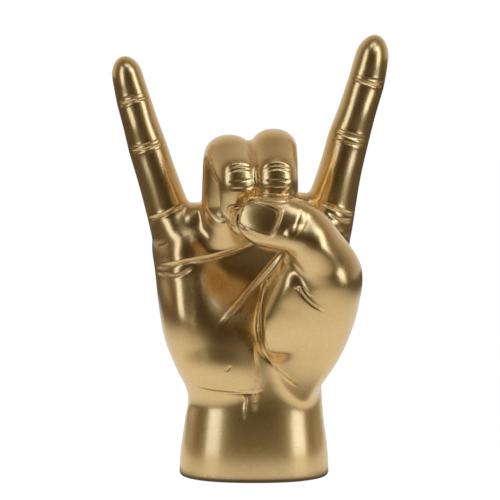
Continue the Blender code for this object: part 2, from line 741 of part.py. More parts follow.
def decimated(mesh, triangles):
    """The mesh with its flatter stretches drawn in fewer faces, and its rim left fine."""
    obj = mesh_of("clay", mesh)
    places, _ = skin_arrays(mesh)
    free = obj.vertex_groups.new(name="free")
    for index, height in enumerate(places[:, 2].tolist()):
        in_rim = abs(height - FOOT - RIM_FINE / 2) < RIM_FINE / 2 + VOXEL
        free.add((index,), RIM_THINNING if in_rim else 1.0, "REPLACE")
    fewer = obj.modifiers.new("fewer faces", "DECIMATE")
    fewer.vertex_group = "free"
    fewer.ratio = triangles / sum(len(p.vertices) - 2 for p in mesh.polygons)
    return settled(obj)


def cut_out(obj, cutter):
    """Takes the cutter's space out of the object."""
    cutter.hide_render = True
    cutter.display_type = "WIRE"
    boolean = obj.modifiers.new(cutter.name, "BOOLEAN")
    boolean.operation = "DIFFERENCE"
    boolean.solver = "EXACT"
    boolean.object = cutter


def stack(name, levels, sides=HOLLOW_SIDES):
    """A solid over outlines of the palm, each as (height of the outline, inset, height it is set at)."""
    bm = bmesh.new()
    loft(bm, [palm_ring(height, inset, at, sides) for height, inset, at in levels])
    return mesh_object(name, bm)


def hollow_levels(inset, bottom, top):
    """Levels that follow the wall of the hand, between two heights."""
    count = max(2, round((top - bottom) / 0.008))
    return [(z, inset, z) for z in np.linspace(bottom, top, count + 1)]


def wire_route(name, start_back=0.0):
    """The middle of a finger's wire: from the hollow, through the knuckle and along the bones."""
    digit = DIGITS[name]
    start = Vector(WIRE_START[name])
    start += (start - digit.joints[0]).normalized() * start_back
    bones = [p[0] for p in spine(digit) if p[1] <= WIRE_END][::4]
    return [start, *bones]


def tube(name, route, radius):
    """A round bar along a route."""
    rings = []
    for i, point in enumerate(route):
        way = (route[min(i + 1, len(route) - 1)] - route[max(i - 1, 0)]).normalized()
        side = Vector((0, 1, 0)).cross(way).normalized()
        back = way.cross(side)
        rings.append([
            point + (side * math.cos(a) + back * math.sin(a)) * radius
            for a in (2 * math.pi * k / WIRE_SIDES for k in range(WIRE_SIDES))
        ])
    bm = bmesh.new()
    loft(bm, rings)
    return mesh_object(name, bm)


def material(name, colour, metallic, roughness):
    finish = bpy.data.materials.new(name)
    finish.use_nodes = True
    shader = finish.node_tree.nodes["Principled BSDF"]
    shader.inputs["Base Color"].default_value = (*colour, 1)
    shader.inputs["Metallic"].default_value = metallic
    shader.inputs["Roughness"].default_value = roughness
    finish.diffuse_color = (*colour, 1)
    return finish


def finished(obj, finish, smooth=True):
    obj.data.materials.clear()
    obj.data.materials.append(finish)
    if smooth:
        obj.data.shade_smooth()
        obj.data.set_sharp_from_angle(angle=math.radians(40))
    return obj


def hand_casting():
    mesh = hand_mesh(VOXEL)
    carve(mesh)
    round_rim(mesh)
    mesh = decimated(mesh, HAND_TRIANGLES)
    mesh.name = "hand_casting"
    hand = mesh_of("hand_casting", mesh)
    below = FOOT - CUTTER_REACH
    cut_out(hand, stack("floor_cutter", [(0.0, -CUTTER_REACH, below), (0.0, -CUTTER_REACH, FOOT)]))
    cut_out(hand, stack("recess_cutter", [(0.0, RIM_WIDTH, below), (0.0, RIM_WIDTH, LEDGE)]))
    dome = [
        (HOLLOW_TOP, WALL + HOLLOW_DOME * (1 - math.cos(a)), HOLLOW_TOP + HOLLOW_DOME * math.sin(a))
        for a in (math.radians(d) for d in (25, 45, 62, 78))
    ]
    walls = hollow_levels(WALL, LEDGE, HOLLOW_TOP)
    cut_out(hand, stack("hollow_cutter", [(LEDGE, WALL, LEDGE - PLATE_THICK), *walls, *dome]))
    for name in WIRE_START:
        bore = tube(name + "_bore", wire_route(name, BORE_REACH), WIRE_RADIUS + WIRE_CLEARANCE)
        cut_out(hand, bore)
    return hand


def ballast_block():
    inset = WALL + SEAT_GAP
    top = LEDGE + BALLAST_HEIGHT
    levels = hollow_levels(inset, LEDGE, top - BALLAST_CHAMFER)
    return stack("ballast_block", [*levels, (top, inset + BALLAST_CHAMFER, top)])


def base_plate():
    inset = RIM_WIDTH + SEAT_GAP
    return stack("base_plate", [(0.0, inset, PLATE_FOOT), (0.0, inset, PLATE_FOOT + PLATE_THICK)])


def felt_pad():
    inset = RIM_WIDTH + SEAT_GAP
    return stack("felt_pad", [(0.0, inset, 0.0), (0.0, inset, FELT_THICK)])


def main():
    clear_scene()
    gold = material("gold_paint", (0.72, 0.48, 0.19), 1.0, 0.30)
    finished(hand_casting(), gold)
    finished(ballast_block(), material("plaster", (0.80, 0.78, 0.73), 0.0, 0.90))
    finished(base_plate(), material("black_plastic", (0.03, 0.03, 0.03), 0.0, 0.50))
    finished(felt_pad(), material("felt", (0.05, 0.04, 0.03), 0.0, 1.0))
    steel = material("steel", (0.55, 0.55, 0.57), 1.0, 0.35)
    for name in WIRE_START:
        finished(tube(name + "_finger_wire", wire_route(name), WIRE_RADIUS), steel)


main()
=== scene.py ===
"""The looks of a hand statue in satin gold: a right hand, palm to the front, with the index and little
fingers raised and the thumb laid over the two folded fingers.

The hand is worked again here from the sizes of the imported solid, far finer, with the creases, nails
and tendons that few faces can't hold, and a fuller ball of the thumb. Metres, +Z up, palm towards -Y.
"""

import math

import bmesh
import bpy
import numpy as np
from mathutils import Matrix, Vector
from mathutils.bvhtree import BVHTree


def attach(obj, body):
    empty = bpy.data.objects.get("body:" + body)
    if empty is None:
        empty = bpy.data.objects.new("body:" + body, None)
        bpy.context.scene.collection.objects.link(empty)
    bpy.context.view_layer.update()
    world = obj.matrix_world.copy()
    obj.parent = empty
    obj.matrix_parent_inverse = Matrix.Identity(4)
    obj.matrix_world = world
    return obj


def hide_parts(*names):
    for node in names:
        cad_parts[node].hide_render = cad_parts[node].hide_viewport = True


# The hand's main sizes: the cut of the wrist, the breadth of the palm at the knuckles, and how far
# the thumb lies in front of the middle of the hand.
FOOT_HALF_WIDTH = 0.0345
FOOT_FRONT = 0.0235
FOOT_BACK = 0.0225
PALM_HALF_WIDTH = 0.045
THUMB_REACH = 0.047

# Knuckles of the two raised fingers, inwards from the palm's edges.
INDEX_KNUCKLE = PALM_HALF_WIDTH - 0.0168
LITTLE_KNUCKLE = PALM_HALF_WIDTH - 0.0134

# The same foot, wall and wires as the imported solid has.
FELT_THICK = 0.001
FELT_PROUD = 0.0004
PLATE_THICK = 0.003
RIM_WIDTH = 0.003
RIM_ROUND = 0.002
SEAT_GAP = 0.0003
FOOT = FELT_PROUD
PLATE_FOOT = FELT_THICK + SEAT_GAP
LEDGE = PLATE_FOOT + PLATE_THICK + SEAT_GAP
CUTTER_REACH = 0.02
WALL = 0.0065
HOLLOW_TOP = 0.088
HOLLOW_DOME = 0.009
WIRE_RADIUS = 0.001
WIRE_CLEARANCE = 0.0003
WIRE_START = {
    "index": (INDEX_KNUCKLE - 0.0032, 0.0006, 0.084),
    "little": (0.0046 - LITTLE_KNUCKLE, 0.0018, 0.084),
}
WIRE_END = 1.9
WIRE_SIDES = 24
BORE_REACH = 0.004

# How finely the skin is worked here.
ROUND_END_DEGREES = (0, 10, 20, 30, 40, 50, 60, 68, 75, 81, 86)
PALM_TOP_DEGREES = (10, 20, 30, 40, 50, 60, 70, 78, 85)
DOME_DEGREES = (25, 45, 62, 78)
RING_SIDES = 96
PALM_STEPS = 110
SPINE_STEP = 0.0012
ARC_STEP = SPINE_STEP / 1.5
LEAST_STEP = 0.3 * SPINE_STEP
ROUTE_STEP = 0.0006
ROUTE_DEGREES = 3
VOXEL = 0.00052
PAD_FACETS = 5
HAND_TRIANGLES = 185000
HOLLOW_SIDES = 72
HOLLOW_STEP = 0.008
SHARP_DEGREES = 60
BATCH = 20000

# How the forms flow together: the round ends of the digits' forms, the lengths that roots and contacts
# are filled over, and the share of the girth's loss that is kept. Then the most of a bone that a turn
# takes up, and the spare length under the foot.
ROOT_ROUND = 0.008
ROOT_BLEND = 0.0084
CONTACT_BLEND = 0.0016
INWARD = 0.45
TURN_SHARE = 0.48
SPARE_FOOT = 0.004

# The palm at heights: its left and right edges, its front and back, and how square it is.
PALM_LEVELS = (
    (0.0, -FOOT_HALF_WIDTH, FOOT_HALF_WIDTH, -FOOT_FRONT, FOOT_BACK, 2.25),
    (0.012, 0.0007 - FOOT_HALF_WIDTH, FOOT_HALF_WIDTH - 0.0005,
     0.0005 - FOOT_FRONT, FOOT_BACK - 0.0003, 2.25),
    (0.026, 0.0027 - FOOT_HALF_WIDTH, FOOT_HALF_WIDTH - 0.0023,
     0.002 - FOOT_FRONT, FOOT_BACK - 0.0015, 2.25),
    (0.038, -0.0303, 0.0312, -0.02, 0.0198, 2.3), (0.05, -0.0357, 0.031, -0.02, 0.019, 2.3),
    (0.064, -0.0411, 0.033, -0.019, 0.018, 2.4), (0.08, -0.0438, 0.037, -0.017, 0.0168, 2.5),
    (0.096, -PALM_HALF_WIDTH - 0.0005, PALM_HALF_WIDTH - 0.004, -0.015, 0.0148, 2.6),
    (0.106, -PALM_HALF_WIDTH - 0.0018, PALM_HALF_WIDTH - 0.0012, -0.014, 0.0128, 2.5),
    (0.113, -PALM_HALF_WIDTH, PALM_HALF_WIDTH - 0.002, -0.013, 0.0104, 2.3),
    (0.118, 0.005 - PALM_HALF_WIDTH, PALM_HALF_WIDTH - 0.006, -0.011, 0.0078, 2.1),
)
PALM_TOP_ROUND = 0.005

# Swellings of the palm side and the back: the middle across and up, the half width, the half height
# and the rise. They reach a little past where the skin turns away.
SWELL_TURN = 0.25
FRONT_SWELLS = (
    (-0.02, 0.066, 0.034, 0.034, 0.006), (-0.019, 0.05, 0.024, 0.013, 0.0014),
    (-0.031, 0.087, 0.02, 0.03, 0.0044), (-0.034, 0.109, 0.014, 0.016, 0.0035),
    (-0.013, 0.115, 0.015, 0.012, 0.004), (0.01, 0.116, 0.015, 0.012, 0.0035),
    (0.031, 0.112, 0.014, 0.015, 0.0035), (-0.003, 0.095, 0.023, 0.026, -0.0024),
    (-0.0375, 0.079, 0.01, 0.032, 0.0018),
)
BACK_SWELLS = (
    (0.029, 0.1, 0.013, 0.023, 0.0016), (0.0095, 0.106, 0.013, 0.027, 0.0024),
    (-0.013, 0.104, 0.013, 0.026, 0.0022), (-0.0325, 0.097, 0.012, 0.021, 0.0014),
    (0.0, 0.075, 0.033, 0.05, 0.002), (-0.018, 0.038, 0.017, 0.022, 0.0016),
)

# Pads of flesh where digits meet the palm, and between what is folded: the middle and the radii.
WEB_PADS = (
    ((0.033, -0.015, 0.098), (0.01, 0.018, 0.017)),
    ((0.0245, -0.029, 0.096), (0.0095, 0.0125, 0.015)),
    ((0.0215, -0.035, 0.102), (0.008, 0.011, 0.012)),
    ((-0.0265, -0.002, 0.1185), (0.008, 0.0085, 0.008)),
    ((-0.002, -0.004, 0.121), (0.006, 0.0105, 0.008)),
    ((0.0215, -0.001, 0.12), (0.0085, 0.01, 0.011)),
)
FOLD_PADS = (
    ((0.0, -0.024, 0.14), (0.004, 0.012, 0.015)),
    ((-0.0016, -0.014, 0.134), (0.0035, 0.009, 0.017)),
    ((0.0095, -0.024, 0.133), (0.007, 0.007, 0.011)),
    ((-0.0085, -0.0235, 0.132), (0.0065, 0.007, 0.01)),
    ((0.0095, -0.0225, 0.1195), (0.0075, 0.008, 0.0085)),
    ((-0.006, -0.022, 0.12), (0.006, 0.008, 0.008)),
)

# Stations: where each digit ends that flows into the palm, where what only touches it starts, and
# where the flow fades out, within a share of the digit's half width.
ROOT_ENDS = {"index": 3.0, "middle": 0.95, "ring": 0.95, "little": 3.0, "thumb": 2.4}
CONTACT_STARTS = {"middle": 0.35, "ring": 0.35, "thumb": 1.35}
WEB_HALF_WIDTH = 0.005
WEB_START = 0.1
WEB_SHY = 0.0034
FADE_REACH = 1.35
FADE = {
    "index": (0.25, 0.8), "middle": (0.0, 0.7), "ring": (0.0, 0.7),
    "little": (0.25, 0.8), "thumb": (1.1, 1.6),
}

# Creases of the palm side: a route as (across, height), the half width, the depth, and how high the
# skin stands to the left and the right of the way that the route runs.
PALM_CREASES = (
    (((-0.0455, 0.0976), (-0.0415, 0.0979), (-0.034, 0.0995), (-0.0266, 0.101), (-0.0135, 0.1033),
      (-0.005, 0.106), (0.0018, 0.1087)), 0.0008, 0.001, (0.0003, 0.0)),
    (((-0.0452, 0.095), (-0.041, 0.0947), (-0.0356, 0.0942), (-0.0307, 0.096), (-0.0262, 0.099)),
     0.0006, 0.0005, (0.0, 0.0001)),
    (((0.014, 0.1062), (0.0122, 0.1043), (0.0054, 0.0961), (-0.0018, 0.088), (-0.0095, 0.0794),
      (-0.0171, 0.0712)), 0.0008, 0.0008, (0.0003, 0.0)),
    (((0.0028, 0.07), (0.0022, 0.0659), (0.0036, 0.0605), (0.0081, 0.0546), (0.014, 0.0487),
      (0.0194, 0.0446)), 0.0007, 0.0006, (0.0002, 0.0)),
    (((0.0045, 0.0684), (0.0067, 0.0617), (0.0099, 0.0571)), 0.0005, 0.0004, (0.0001, 0.0)),
    (((0.017, 0.099), (0.0186, 0.0957), (0.0204, 0.0899), (0.0253, 0.0845), (0.0315, 0.0809)),
     0.0006, 0.0006, (0.0003, 0.0)),
    (((0.0198, 0.095), (0.0204, 0.0939), (0.0226, 0.0899), (0.0262, 0.0872)),
     0.0005, 0.0003, (0.0001, 0.0)),
    (((-0.033, 0.0456), (-0.0307, 0.0446), (-0.0221, 0.0423), (-0.0131, 0.0414), (-0.0036, 0.0409),
      (0.005, 0.042)), 0.0006, 0.0003, (0.0001, 0.0)),
    (((-0.0126, 0.0514), (-0.0104, 0.0541)), 0.0005, 0.0002, (0.0, 0.0)),
    (((-0.025, 0.1284), (-0.0212, 0.1237), (-0.0163, 0.12), (-0.0117, 0.1196)),
     0.0006, 0.0006, (0.0001, 0.0002)),
    (((-0.0434, 0.1069), (-0.0412, 0.1073), (-0.0389, 0.1087)), 0.0005, 0.0003, (0.0001, 0.0)),
    (((0.029, 0.1275), (0.033, 0.1258), (0.0367, 0.1243), (0.0435, 0.1216), (0.048, 0.1208)),
     0.0006, 0.0007, (0.0002, 0.0002)),
    (((0.0335, 0.1228), (0.0399, 0.1189), (0.0462, 0.118)), 0.0006, 0.0005, (0.0001, 0.0002)),
    (((-0.048, 0.1187), (-0.0471, 0.1189), (-0.0403, 0.1216), (-0.0335, 0.1252), (-0.0285, 0.1277)),
     0.0006, 0.0007, (0.0002, 0.0002)),
    (((0.0299, 0.1181), (0.0367, 0.1136), (0.0435, 0.11)), 0.0008, 0.0003, (0.0001, 0.0)),
)

# The crease that lies in the bottom of the cleft round the thumb's ball, drawn the same way.
CLEFT_CREASE = (
    ((0.018, 0.1016), (0.0166, 0.1003), (0.0108, 0.0944), (0.0061, 0.0872), (0.0036, 0.0795),
     (0.0031, 0.0741), (0.0045, 0.0664), (0.0076, 0.06), (0.0117, 0.055)), 0.0007, 0.0008, (0.0, 0.0),
)

# The cleft's bottom: where it is looked for from, how far to either side, in how many places, and over
# how many points it is evened. Then how near it the forms keep their edges, how much of them, over
# which shares of its length this comes and goes, and how far to the front.
BEFORE_HAND = -0.1
CLEFT_REACH = 0.0025
CLEFT_LOOKS = 21
CLEFT_EVEN = 6
CLEFT_SHARP = 0.0075
CLEFT_HOLD = 0.95
CLEFT_ENDS = (0.3, 0.5)
CLEFT_FRONT = 0.008

# Ridges where tendons lift the wrist's skin: a route, the half width and the height.
TENDONS = (
    (((0.0004, 0.064), (-0.0004, 0.0612), (0.0008, 0.0489), (0.0005, 0.0374), (0.0003, 0.033)),
     0.0012, 0.001),
    (((-0.007, 0.0425), (-0.005, 0.041), (-0.0037, 0.0385), (-0.0038, 0.0358), (-0.0043, 0.03)),
     0.0008, 0.0006),
)

# Creases across the pads and the backs of the digits: the station, the half width, the depth, and how
# far the ends of the crease lie up or down the digit, in degrees.
PAD_CREASES = {
    "index": (
        (1.09, 0.0005, 0.0004, 5), (1.05, 0.0006, 0.0006, 4), (0.985, 0.0005, 0.0003, 2),
        (2.0, 0.0006, 0.0006, 5), (2.07, 0.0005, 0.0003, 6),
    ),
    "little": (
        (1.0, 0.0006, 0.0006, 4), (1.07, 0.0005, 0.0004, 6), (2.0, 0.0006, 0.0006, -4),
        (2.08, 0.0005, 0.0003, -5),
    ),
}
KNUCKLE_FOLDS = ((0.94, 0.001, 0.0002, 4), (1.02, 0.001, 0.0002, 0), (1.1, 0.001, 0.0002, -4))
BACK_CREASES = {
    "middle": (
        (1.9, 0.0006, 0.0003, 9), (1.96, 0.0005, 0.0003, 6), (2.05, 0.0005, 0.0003, 2),
        (2.12, 0.0005, 0.0004, -2), (2.2, 0.0006, 0.0004, -4), *KNUCKLE_FOLDS,
    ),
    "ring": (
        (1.88, 0.0006, 0.0003, 8), (1.95, 0.0005, 0.0003, 5), (2.06, 0.0005, 0.0003, 0),
        (2.14, 0.0005, 0.0003, -3), *KNUCKLE_FOLDS,
    ),
    "index": (
        (0.93, 0.0009, 0.0003, 8), (0.98, 0.0009, 0.0004, 3), (1.03, 0.0009, 0.0004, -3),
        (1.08, 0.0009, 0.0003, -8), (1.94, 0.0007, 0.0002, 5), (2.01, 0.0007, 0.0003, 0),
        (2.08, 0.0007, 0.0002, -5),
    ),
    "little": (
        (0.93, 0.0009, 0.0003, 8), (0.99, 0.0009, 0.0004, 2), (1.05, 0.0009, 0.0003, -6),
        (1.95, 0.0007, 0.0002, 5), (2.03, 0.0007, 0.0003, -4),
    ),
    "thumb": ((2.05, 0.0005, 0.0001, 6), (2.12, 0.0006, 0.0002, 3)),
}

# How far round a digit they run to either side, in degrees.
PAD_TURN = 66
BACK_TURN = 46

# A crease's form, in half widths: how far it reaches and where its lips lie. Then how steep its groove
# is, the share of its length that it dies out over at each end, and a digit's lips in depths.
CREASE_REACH = 5
LIP_PLACE = 2.1
GROOVE_POWER = 1.4
CREASE_ENDS = 0.25
DIGIT_LIP = 0.3

# Where faces are cut finer: round a crease, in half widths and metres, and a nail, in half lengths.
FINE_AT_CREASE = (2.2, 0.0006)
FINE_AT_NAIL = 1.4

# Nails: the station of the middle, half length, half width, how far the plate lies in the flesh, and
# how far it is turned, in degrees.
NAILS = {
    "index": (2.58, 0.0066, 0.0056, 0.0006, 0),
    "middle": (2.66, 0.006, 0.0056, 0.0006, 0),
    "ring": (2.7, 0.0056, 0.0054, 0.0006, 0),
    "little": (2.58, 0.0055, 0.0048, 0.0005, 0),
    "thumb": (2.67, 0.0077, 0.006, 0.0011, -11),
}

# A nail's form, in its half sizes: how square it is, how far out the flesh is read and changed, and how
# wide the edge's step is. NAIL_TOP is the farthest up, in metres, and NAIL_FACING the least turn to the
# back. The rim and the groove have a place, a width and a height, and end short of the free edge.
NAIL_POWER = 5
NAIL_FLESH = 1.15
NAIL_REACH = 1.45
NAIL_TOP = 0.016
NAIL_FACING = 0.1
NAIL_STEP = 0.07
NAIL_RIM = (1.13, 0.075, 0.7)
NAIL_GROOVE = (1.0, 0.045, 0.5)
FREE_EDGE = 0.6

# How much the plate keeps of the flesh's height, slope and curve along it, slope and curve across it,
# and of how the last changes along it.
PLATE_SHARES = (1, 0.6, 0.4, 1, 0.6, 1)


class Digit:
    """A finger or the thumb: its joints, the side axis of each bone, and its half width and its depths
    to the back and the pad at stations, 0 at the knuckle, 1 and 2 at the next joints and 3 at the tip.
    The nose is the length of the round tip, and the bend the radius that joints turn on. Its section
    is an oval, squarer as squareness goes past 2."""

    def __init__(self, joints, sides, sections, nose, bend, squareness=2.0):
        self.joints = [Vector(j) for j in joints]
        self.sides = [Vector(s).normalized() for s in sides]
        self.sections = sections
        self.nose = nose
        self.bend = bend
        self.squareness = squareness


def bone_direction(curl, splay):
    """Straight up at zero, curled towards the palm side and splayed towards +X, in degrees."""
    c, s = math.radians(curl), math.radians(splay)
    return Vector((math.sin(s) * math.cos(c), -math.sin(c), math.cos(s) * math.cos(c)))


def finger(knuckle, bones, sections, nose, bend=0.008, lean_in=0.0, squareness=2.0):
    """A finger from its bones, each a length, a curl and a splay. lean_in turns the plane that a
    folded finger curls in towards the thumb."""
    joints = [Vector(knuckle)]
    sides = []
    for length, curl, splay in bones:
        joints.append(joints[-1] + bone_direction(curl, splay) * length)
        s = math.radians(splay)
        sides.append(Vector((math.cos(s), 0, -math.sin(s))))
    if lean_in:
        turn = Matrix.Rotation(math.radians(lean_in), 3, joints[1] - joints[0])
        joints = joints[:2] + [joints[1] + turn @ (j - joints[1]) for j in joints[2:]]
        sides = sides[:1] + [turn @ s for s in sides[1:]]
    return Digit(joints, sides, sections, nose, bend, squareness)


DIGITS = {
    "index": finger(
        (INDEX_KNUCKLE, 0.0005, 0.0972),
        ((0.06, 2.0, 14.2), (0.0267, 0.0, 17.5), (0.0222, -2.0, 12.5)),
        (
            (0, 0.0125, 0.012, 0.0115), (0.3, 0.0124, 0.0117, 0.0115), (0.5, 0.0112, 0.0105, 0.0108),
            (0.75, 0.0098, 0.0093, 0.01), (1, 0.0094, 0.0092, 0.0086), (1.5, 0.0086, 0.008, 0.0088),
            (2, 0.0083, 0.0076, 0.0074), (2.5, 0.0077, 0.0064, 0.008), (3, 0.0064, 0.005, 0.0062),
        ),
        nose=0.0095,
    ),
    "middle": finger(
        (0.0095, 0.0, 0.112),
        ((0.047, 25.0, -1.5), (0.0243, 126.0, 0.0), (0.025, 204.0, 0.0)),
        (
            (0, 0.0116, 0.0116, 0.011), (0.5, 0.0111, 0.0104, 0.013), (1, 0.0107, 0.0098, 0.0114),
            (1.5, 0.0103, 0.0088, 0.0122), (2, 0.0095, 0.008, 0.01), (2.5, 0.009, 0.0066, 0.0096),
            (3, 0.0076, 0.0054, 0.0072),
        ),
        nose=0.0095, bend=0.0065, lean_in=3.5, squareness=2.15,
    ),
    "ring": finger(
        (-0.013, 0.0005, 0.1105),
        ((0.0455, 25.0, 1.5), (0.0235, 121.0, 0.0), (0.0235, 201.0, 0.0)),
        (
            (0, 0.0115, 0.0113, 0.0108), (0.5, 0.0111, 0.01, 0.0127), (1, 0.0107, 0.0094, 0.0112),
            (1.5, 0.0102, 0.0084, 0.0118), (2, 0.0092, 0.0077, 0.0098), (2.5, 0.0086, 0.0063, 0.0092),
            (3, 0.007, 0.0052, 0.0068),
        ),
        nose=0.009, bend=0.0065, lean_in=13.0, squareness=2.15,
    ),
    "little": finger(
        (-LITTLE_KNUCKLE, 0.0015, 0.0984),
        ((0.0557, 2.0, -17.6), (0.0223, 0.0, -16.6), (0.0205, -2.0, -14.0)),
        (
            (0, 0.011, 0.011, 0.0105), (0.25, 0.011, 0.0107, 0.0105), (0.5, 0.0099, 0.0096, 0.0098),
            (0.75, 0.0091, 0.0086, 0.009), (1, 0.0088, 0.0084, 0.008), (1.5, 0.0081, 0.0074, 0.0082),
            (2, 0.0077, 0.007, 0.0069), (2.5, 0.0071, 0.006, 0.0074), (3, 0.0063, 0.005, 0.006),
        ),
        nose=0.0085,
    ),
    "thumb": Digit(
        (
            (0.017, -0.003, 0.034), (0.0353, -0.038, 0.0975),
            (0.0212, 0.0025 - THUMB_REACH, 0.119), (-0.008, 0.0015 - THUMB_REACH, 0.1235),
        ),
        ((-0.215, -0.925, -0.308), (-0.5, -0.42, -0.76), (-0.14, -0.22, -0.97)),
        (
            (0, 0.009, 0.008, 0.01), (0.2, 0.012, 0.0105, 0.0135), (0.45, 0.0145, 0.0146, 0.0195),
            (0.7, 0.016, 0.0158, 0.0215), (0.92, 0.0152, 0.0144, 0.0185), (1.1, 0.0138, 0.0132, 0.0155),
            (1.3, 0.0128, 0.0118, 0.0132), (1.55, 0.0122, 0.0106, 0.0115), (2, 0.0122, 0.01, 0.0098),
            (2.5, 0.0118, 0.0095, 0.0092), (3, 0.0098, 0.0075, 0.007),
        ),
        nose=0.012, bend=0.02, squareness=2.3,
    ),
}

# The ball of the thumb, up to the cleft on its left.
THUMB_BALL = Digit(
    (
        (0.0175, -0.011, 0.048), (0.0155, -0.021, 0.068), (0.0175, -0.028, 0.088),
        (0.0225, -0.037, 0.104),
    ),
    ((1, 0, 0), (1, 0, 0), (1, 0, 0)),
    (
        (0, 0.0045, 0.005, 0.005), (0.35, 0.007, 0.006, 0.0076), (0.6, 0.0084, 0.0075, 0.008),
        (1, 0.0122, 0.0095, 0.0142), (1.6, 0.0134, 0.01, 0.0164), (2, 0.012, 0.0095, 0.0164),
        (2.4, 0.0108, 0.009, 0.0152), (3, 0.0085, 0.007, 0.011),
    ),
    nose=0.007, bend=0.01, squareness=3.4,
)


def web_between(first, second, shy):
    """Flesh that fills the crevice between two digits, as a thin one in their middle. It stays shy
    of their backs and pads by a set depth."""
    joints = [a.lerp(b, 0.5) for a, b in zip(first.joints, second.joints)]
    sides = [a.lerp(b, 0.5) for a, b in zip(first.sides, second.sides)]
    sections = []
    for station, _, *depths in first.sections:
        others = (smooth_value(second.sections, station, c) for c in (2, 3))
        sections.append((station, WEB_HALF_WIDTH, *(min(a, b) - shy for a, b in zip(depths, others))))
    return Digit(joints, sides, sections, first.nose - shy, first.bend)


def smooth_value(table, at, column):
    """A column of a table read between its rows, on a curve without corners."""
    rows = [(row[0], row[column]) for row in table]
    at = min(max(at, rows[0][0]), rows[-1][0])
    i = next(k for k in range(len(rows) - 1) if at <= rows[k + 1][0])
    (x0, y0), (x1, y1) = rows[i], rows[i + 1]

    def slope(k):
        lo, hi = rows[max(k - 1, 0)], rows[min(k + 1, len(rows) - 1)]
        return (hi[1] - lo[1]) / (hi[0] - lo[0])

    h = x1 - x0
    t = (at - x0) / h
    return (
        y0 * (2 * t**3 - 3 * t**2 + 1)
        + slope(i) * h * (t**3 - 2 * t**2 + t)
        + y1 * (3 * t**2 - 2 * t**3)
        + slope(i + 1) * h * (t**3 - t**2)
    )


def spine(digit):
    """Places along a digit, each with its station and side axis, with the corners turned on arcs."""
    joints, last = digit.joints, len(digit.joints) - 1
    bones = [b - a for a, b in zip(joints, joints[1:])]
    spans, ways = [bone.length for bone in bones], [bone.normalized() for bone in bones]
    turns = [0.0] * (last + 1)
    for i in range(1, last):
        angle = ways[i - 1].angle(ways[i])
        most = TURN_SHARE * min(spans[i - 1], spans[i])
        turns[i] = min(digit.bend * math.tan(angle / 2), most)
    places = []
    for i in range(last):
        start, end = turns[i], spans[i] - (turns[i + 1] if i + 1 < last else 0)
        steps = max(2, round((end - start) / SPINE_STEP))
        for k in range(steps + 1):
            along = start + (end - start) * k / steps
            places.append((joints[i] + ways[i] * along, i + along / spans[i], digit.sides[i]))
        if i + 1 == last or turns[i + 1] < 1e-5:
            continue
        a, b, turn = ways[i], ways[i + 1], turns[i + 1]
        angle = a.angle(b)
        radius = turn / math.tan(angle / 2)
        inward = (b - a * math.cos(angle)).normalized()
        centre = joints[i + 1] - a * turn + inward * radius
        steps = max(2, round(radius * angle / ARC_STEP))
        for k in range(1, steps):
            f = k / steps
            point = centre - inward * radius * math.cos(angle * f) + a * radius * math.sin(angle * f)
            if f < 0.5:
                station = i + 1 - turn / spans[i] * (1 - 2 * f)
            else:
                station = i + 1 + turn / spans[i + 1] * (2 * f - 1)
            places.append((point, station, digit.sides[i].lerp(digit.sides[i + 1], f)))
    kept = [places[0]]
    for place in places[1:]:
        if (place[0] - kept[-1][0]).length > LEAST_STEP:
            kept.append(place)
    return kept


def oval(squareness, sides):
    """Points round an oval of half axes 1, squarer as squareness goes past 2."""
    points = []
    power = 2 / squareness
    for k in range(sides):
        angle = 2 * math.pi * k / sides
        c, s = math.cos(angle), math.sin(angle)
        points.append((math.copysign(abs(c) ** power, c), math.copysign(abs(s) ** power, s)))
    return points


def digit_rings(digit, first=0.0, last=3.0):
    """Cross sections of a digit between two stations, drawn in to a round nose at the tip and to a
    round end at the other."""
    places = [p for p in spine(digit) if first <= p[1] <= last]
    lengths = [0.0]
    for before, after in zip(places, places[1:]):
        lengths.append(lengths[-1] + (after[0] - before[0]).length)
    total = lengths[-1]
    sines = [math.sin(math.radians(a)) for a in ROUND_END_DEGREES]
    fine = [total - digit.nose * (1 - sine) for sine in sines]
    fine += [ROOT_ROUND * (1 - sine) for sine in sines]
    rings = []
    for along in sorted(fine + [s for s in lengths if ROOT_ROUND < s < total - digit.nose]):
        i = max(k for k in range(len(lengths) - 1) if lengths[k] <= along + 1e-9)
        f = (along - lengths[i]) / (lengths[i + 1] - lengths[i])
        (p0, s0, side0), (p1, s1, side1) = places[i], places[i + 1]
        before = places[max(i - 1, 0)][0]
        after = places[min(i + 2, len(places) - 1)][0]
        way = ((p1 - before).normalized().lerp((after - p0).normalized(), f)).normalized()
        side = side0.lerp(side1, f)
        side = (side - way * way.dot(side)).normalized()
        back = way.cross(side)
        station = s0 + (s1 - s0) * f
        width, dorsal, palmar = (smooth_value(digit.sections, station, c) for c in (1, 2, 3))
        past = max(0.0, (along - total + digit.nose) / digit.nose, (ROOT_ROUND - along) / ROOT_ROUND)
        draw_in = math.sqrt(max(0.0, 1 - past**2))
        centre = p0.lerp(p1, f)
        rings.append([
            centre + (side * width * x + back * (dorsal if y > 0 else palmar) * y) * draw_in
            for x, y in oval(digit.squareness, RING_SIDES)
        ])
    return rings


def palm_ring(height, inset=0.0, at=None, sides=2 * RING_SIDES):
    """The palm's outline at a height, drawn in all round and set at that height or another."""
    left, right, front, back, squareness = (smooth_value(PALM_LEVELS, height, c) for c in range(1, 6))
    middle, half = (left + right) / 2, (right - left) / 2 - inset
    at = height if at is None else at
    return [
        Vector((middle + half * x, ((back if y > 0 else -front) - inset) * y, at))
        for x, y in oval(squareness, sides)
    ]


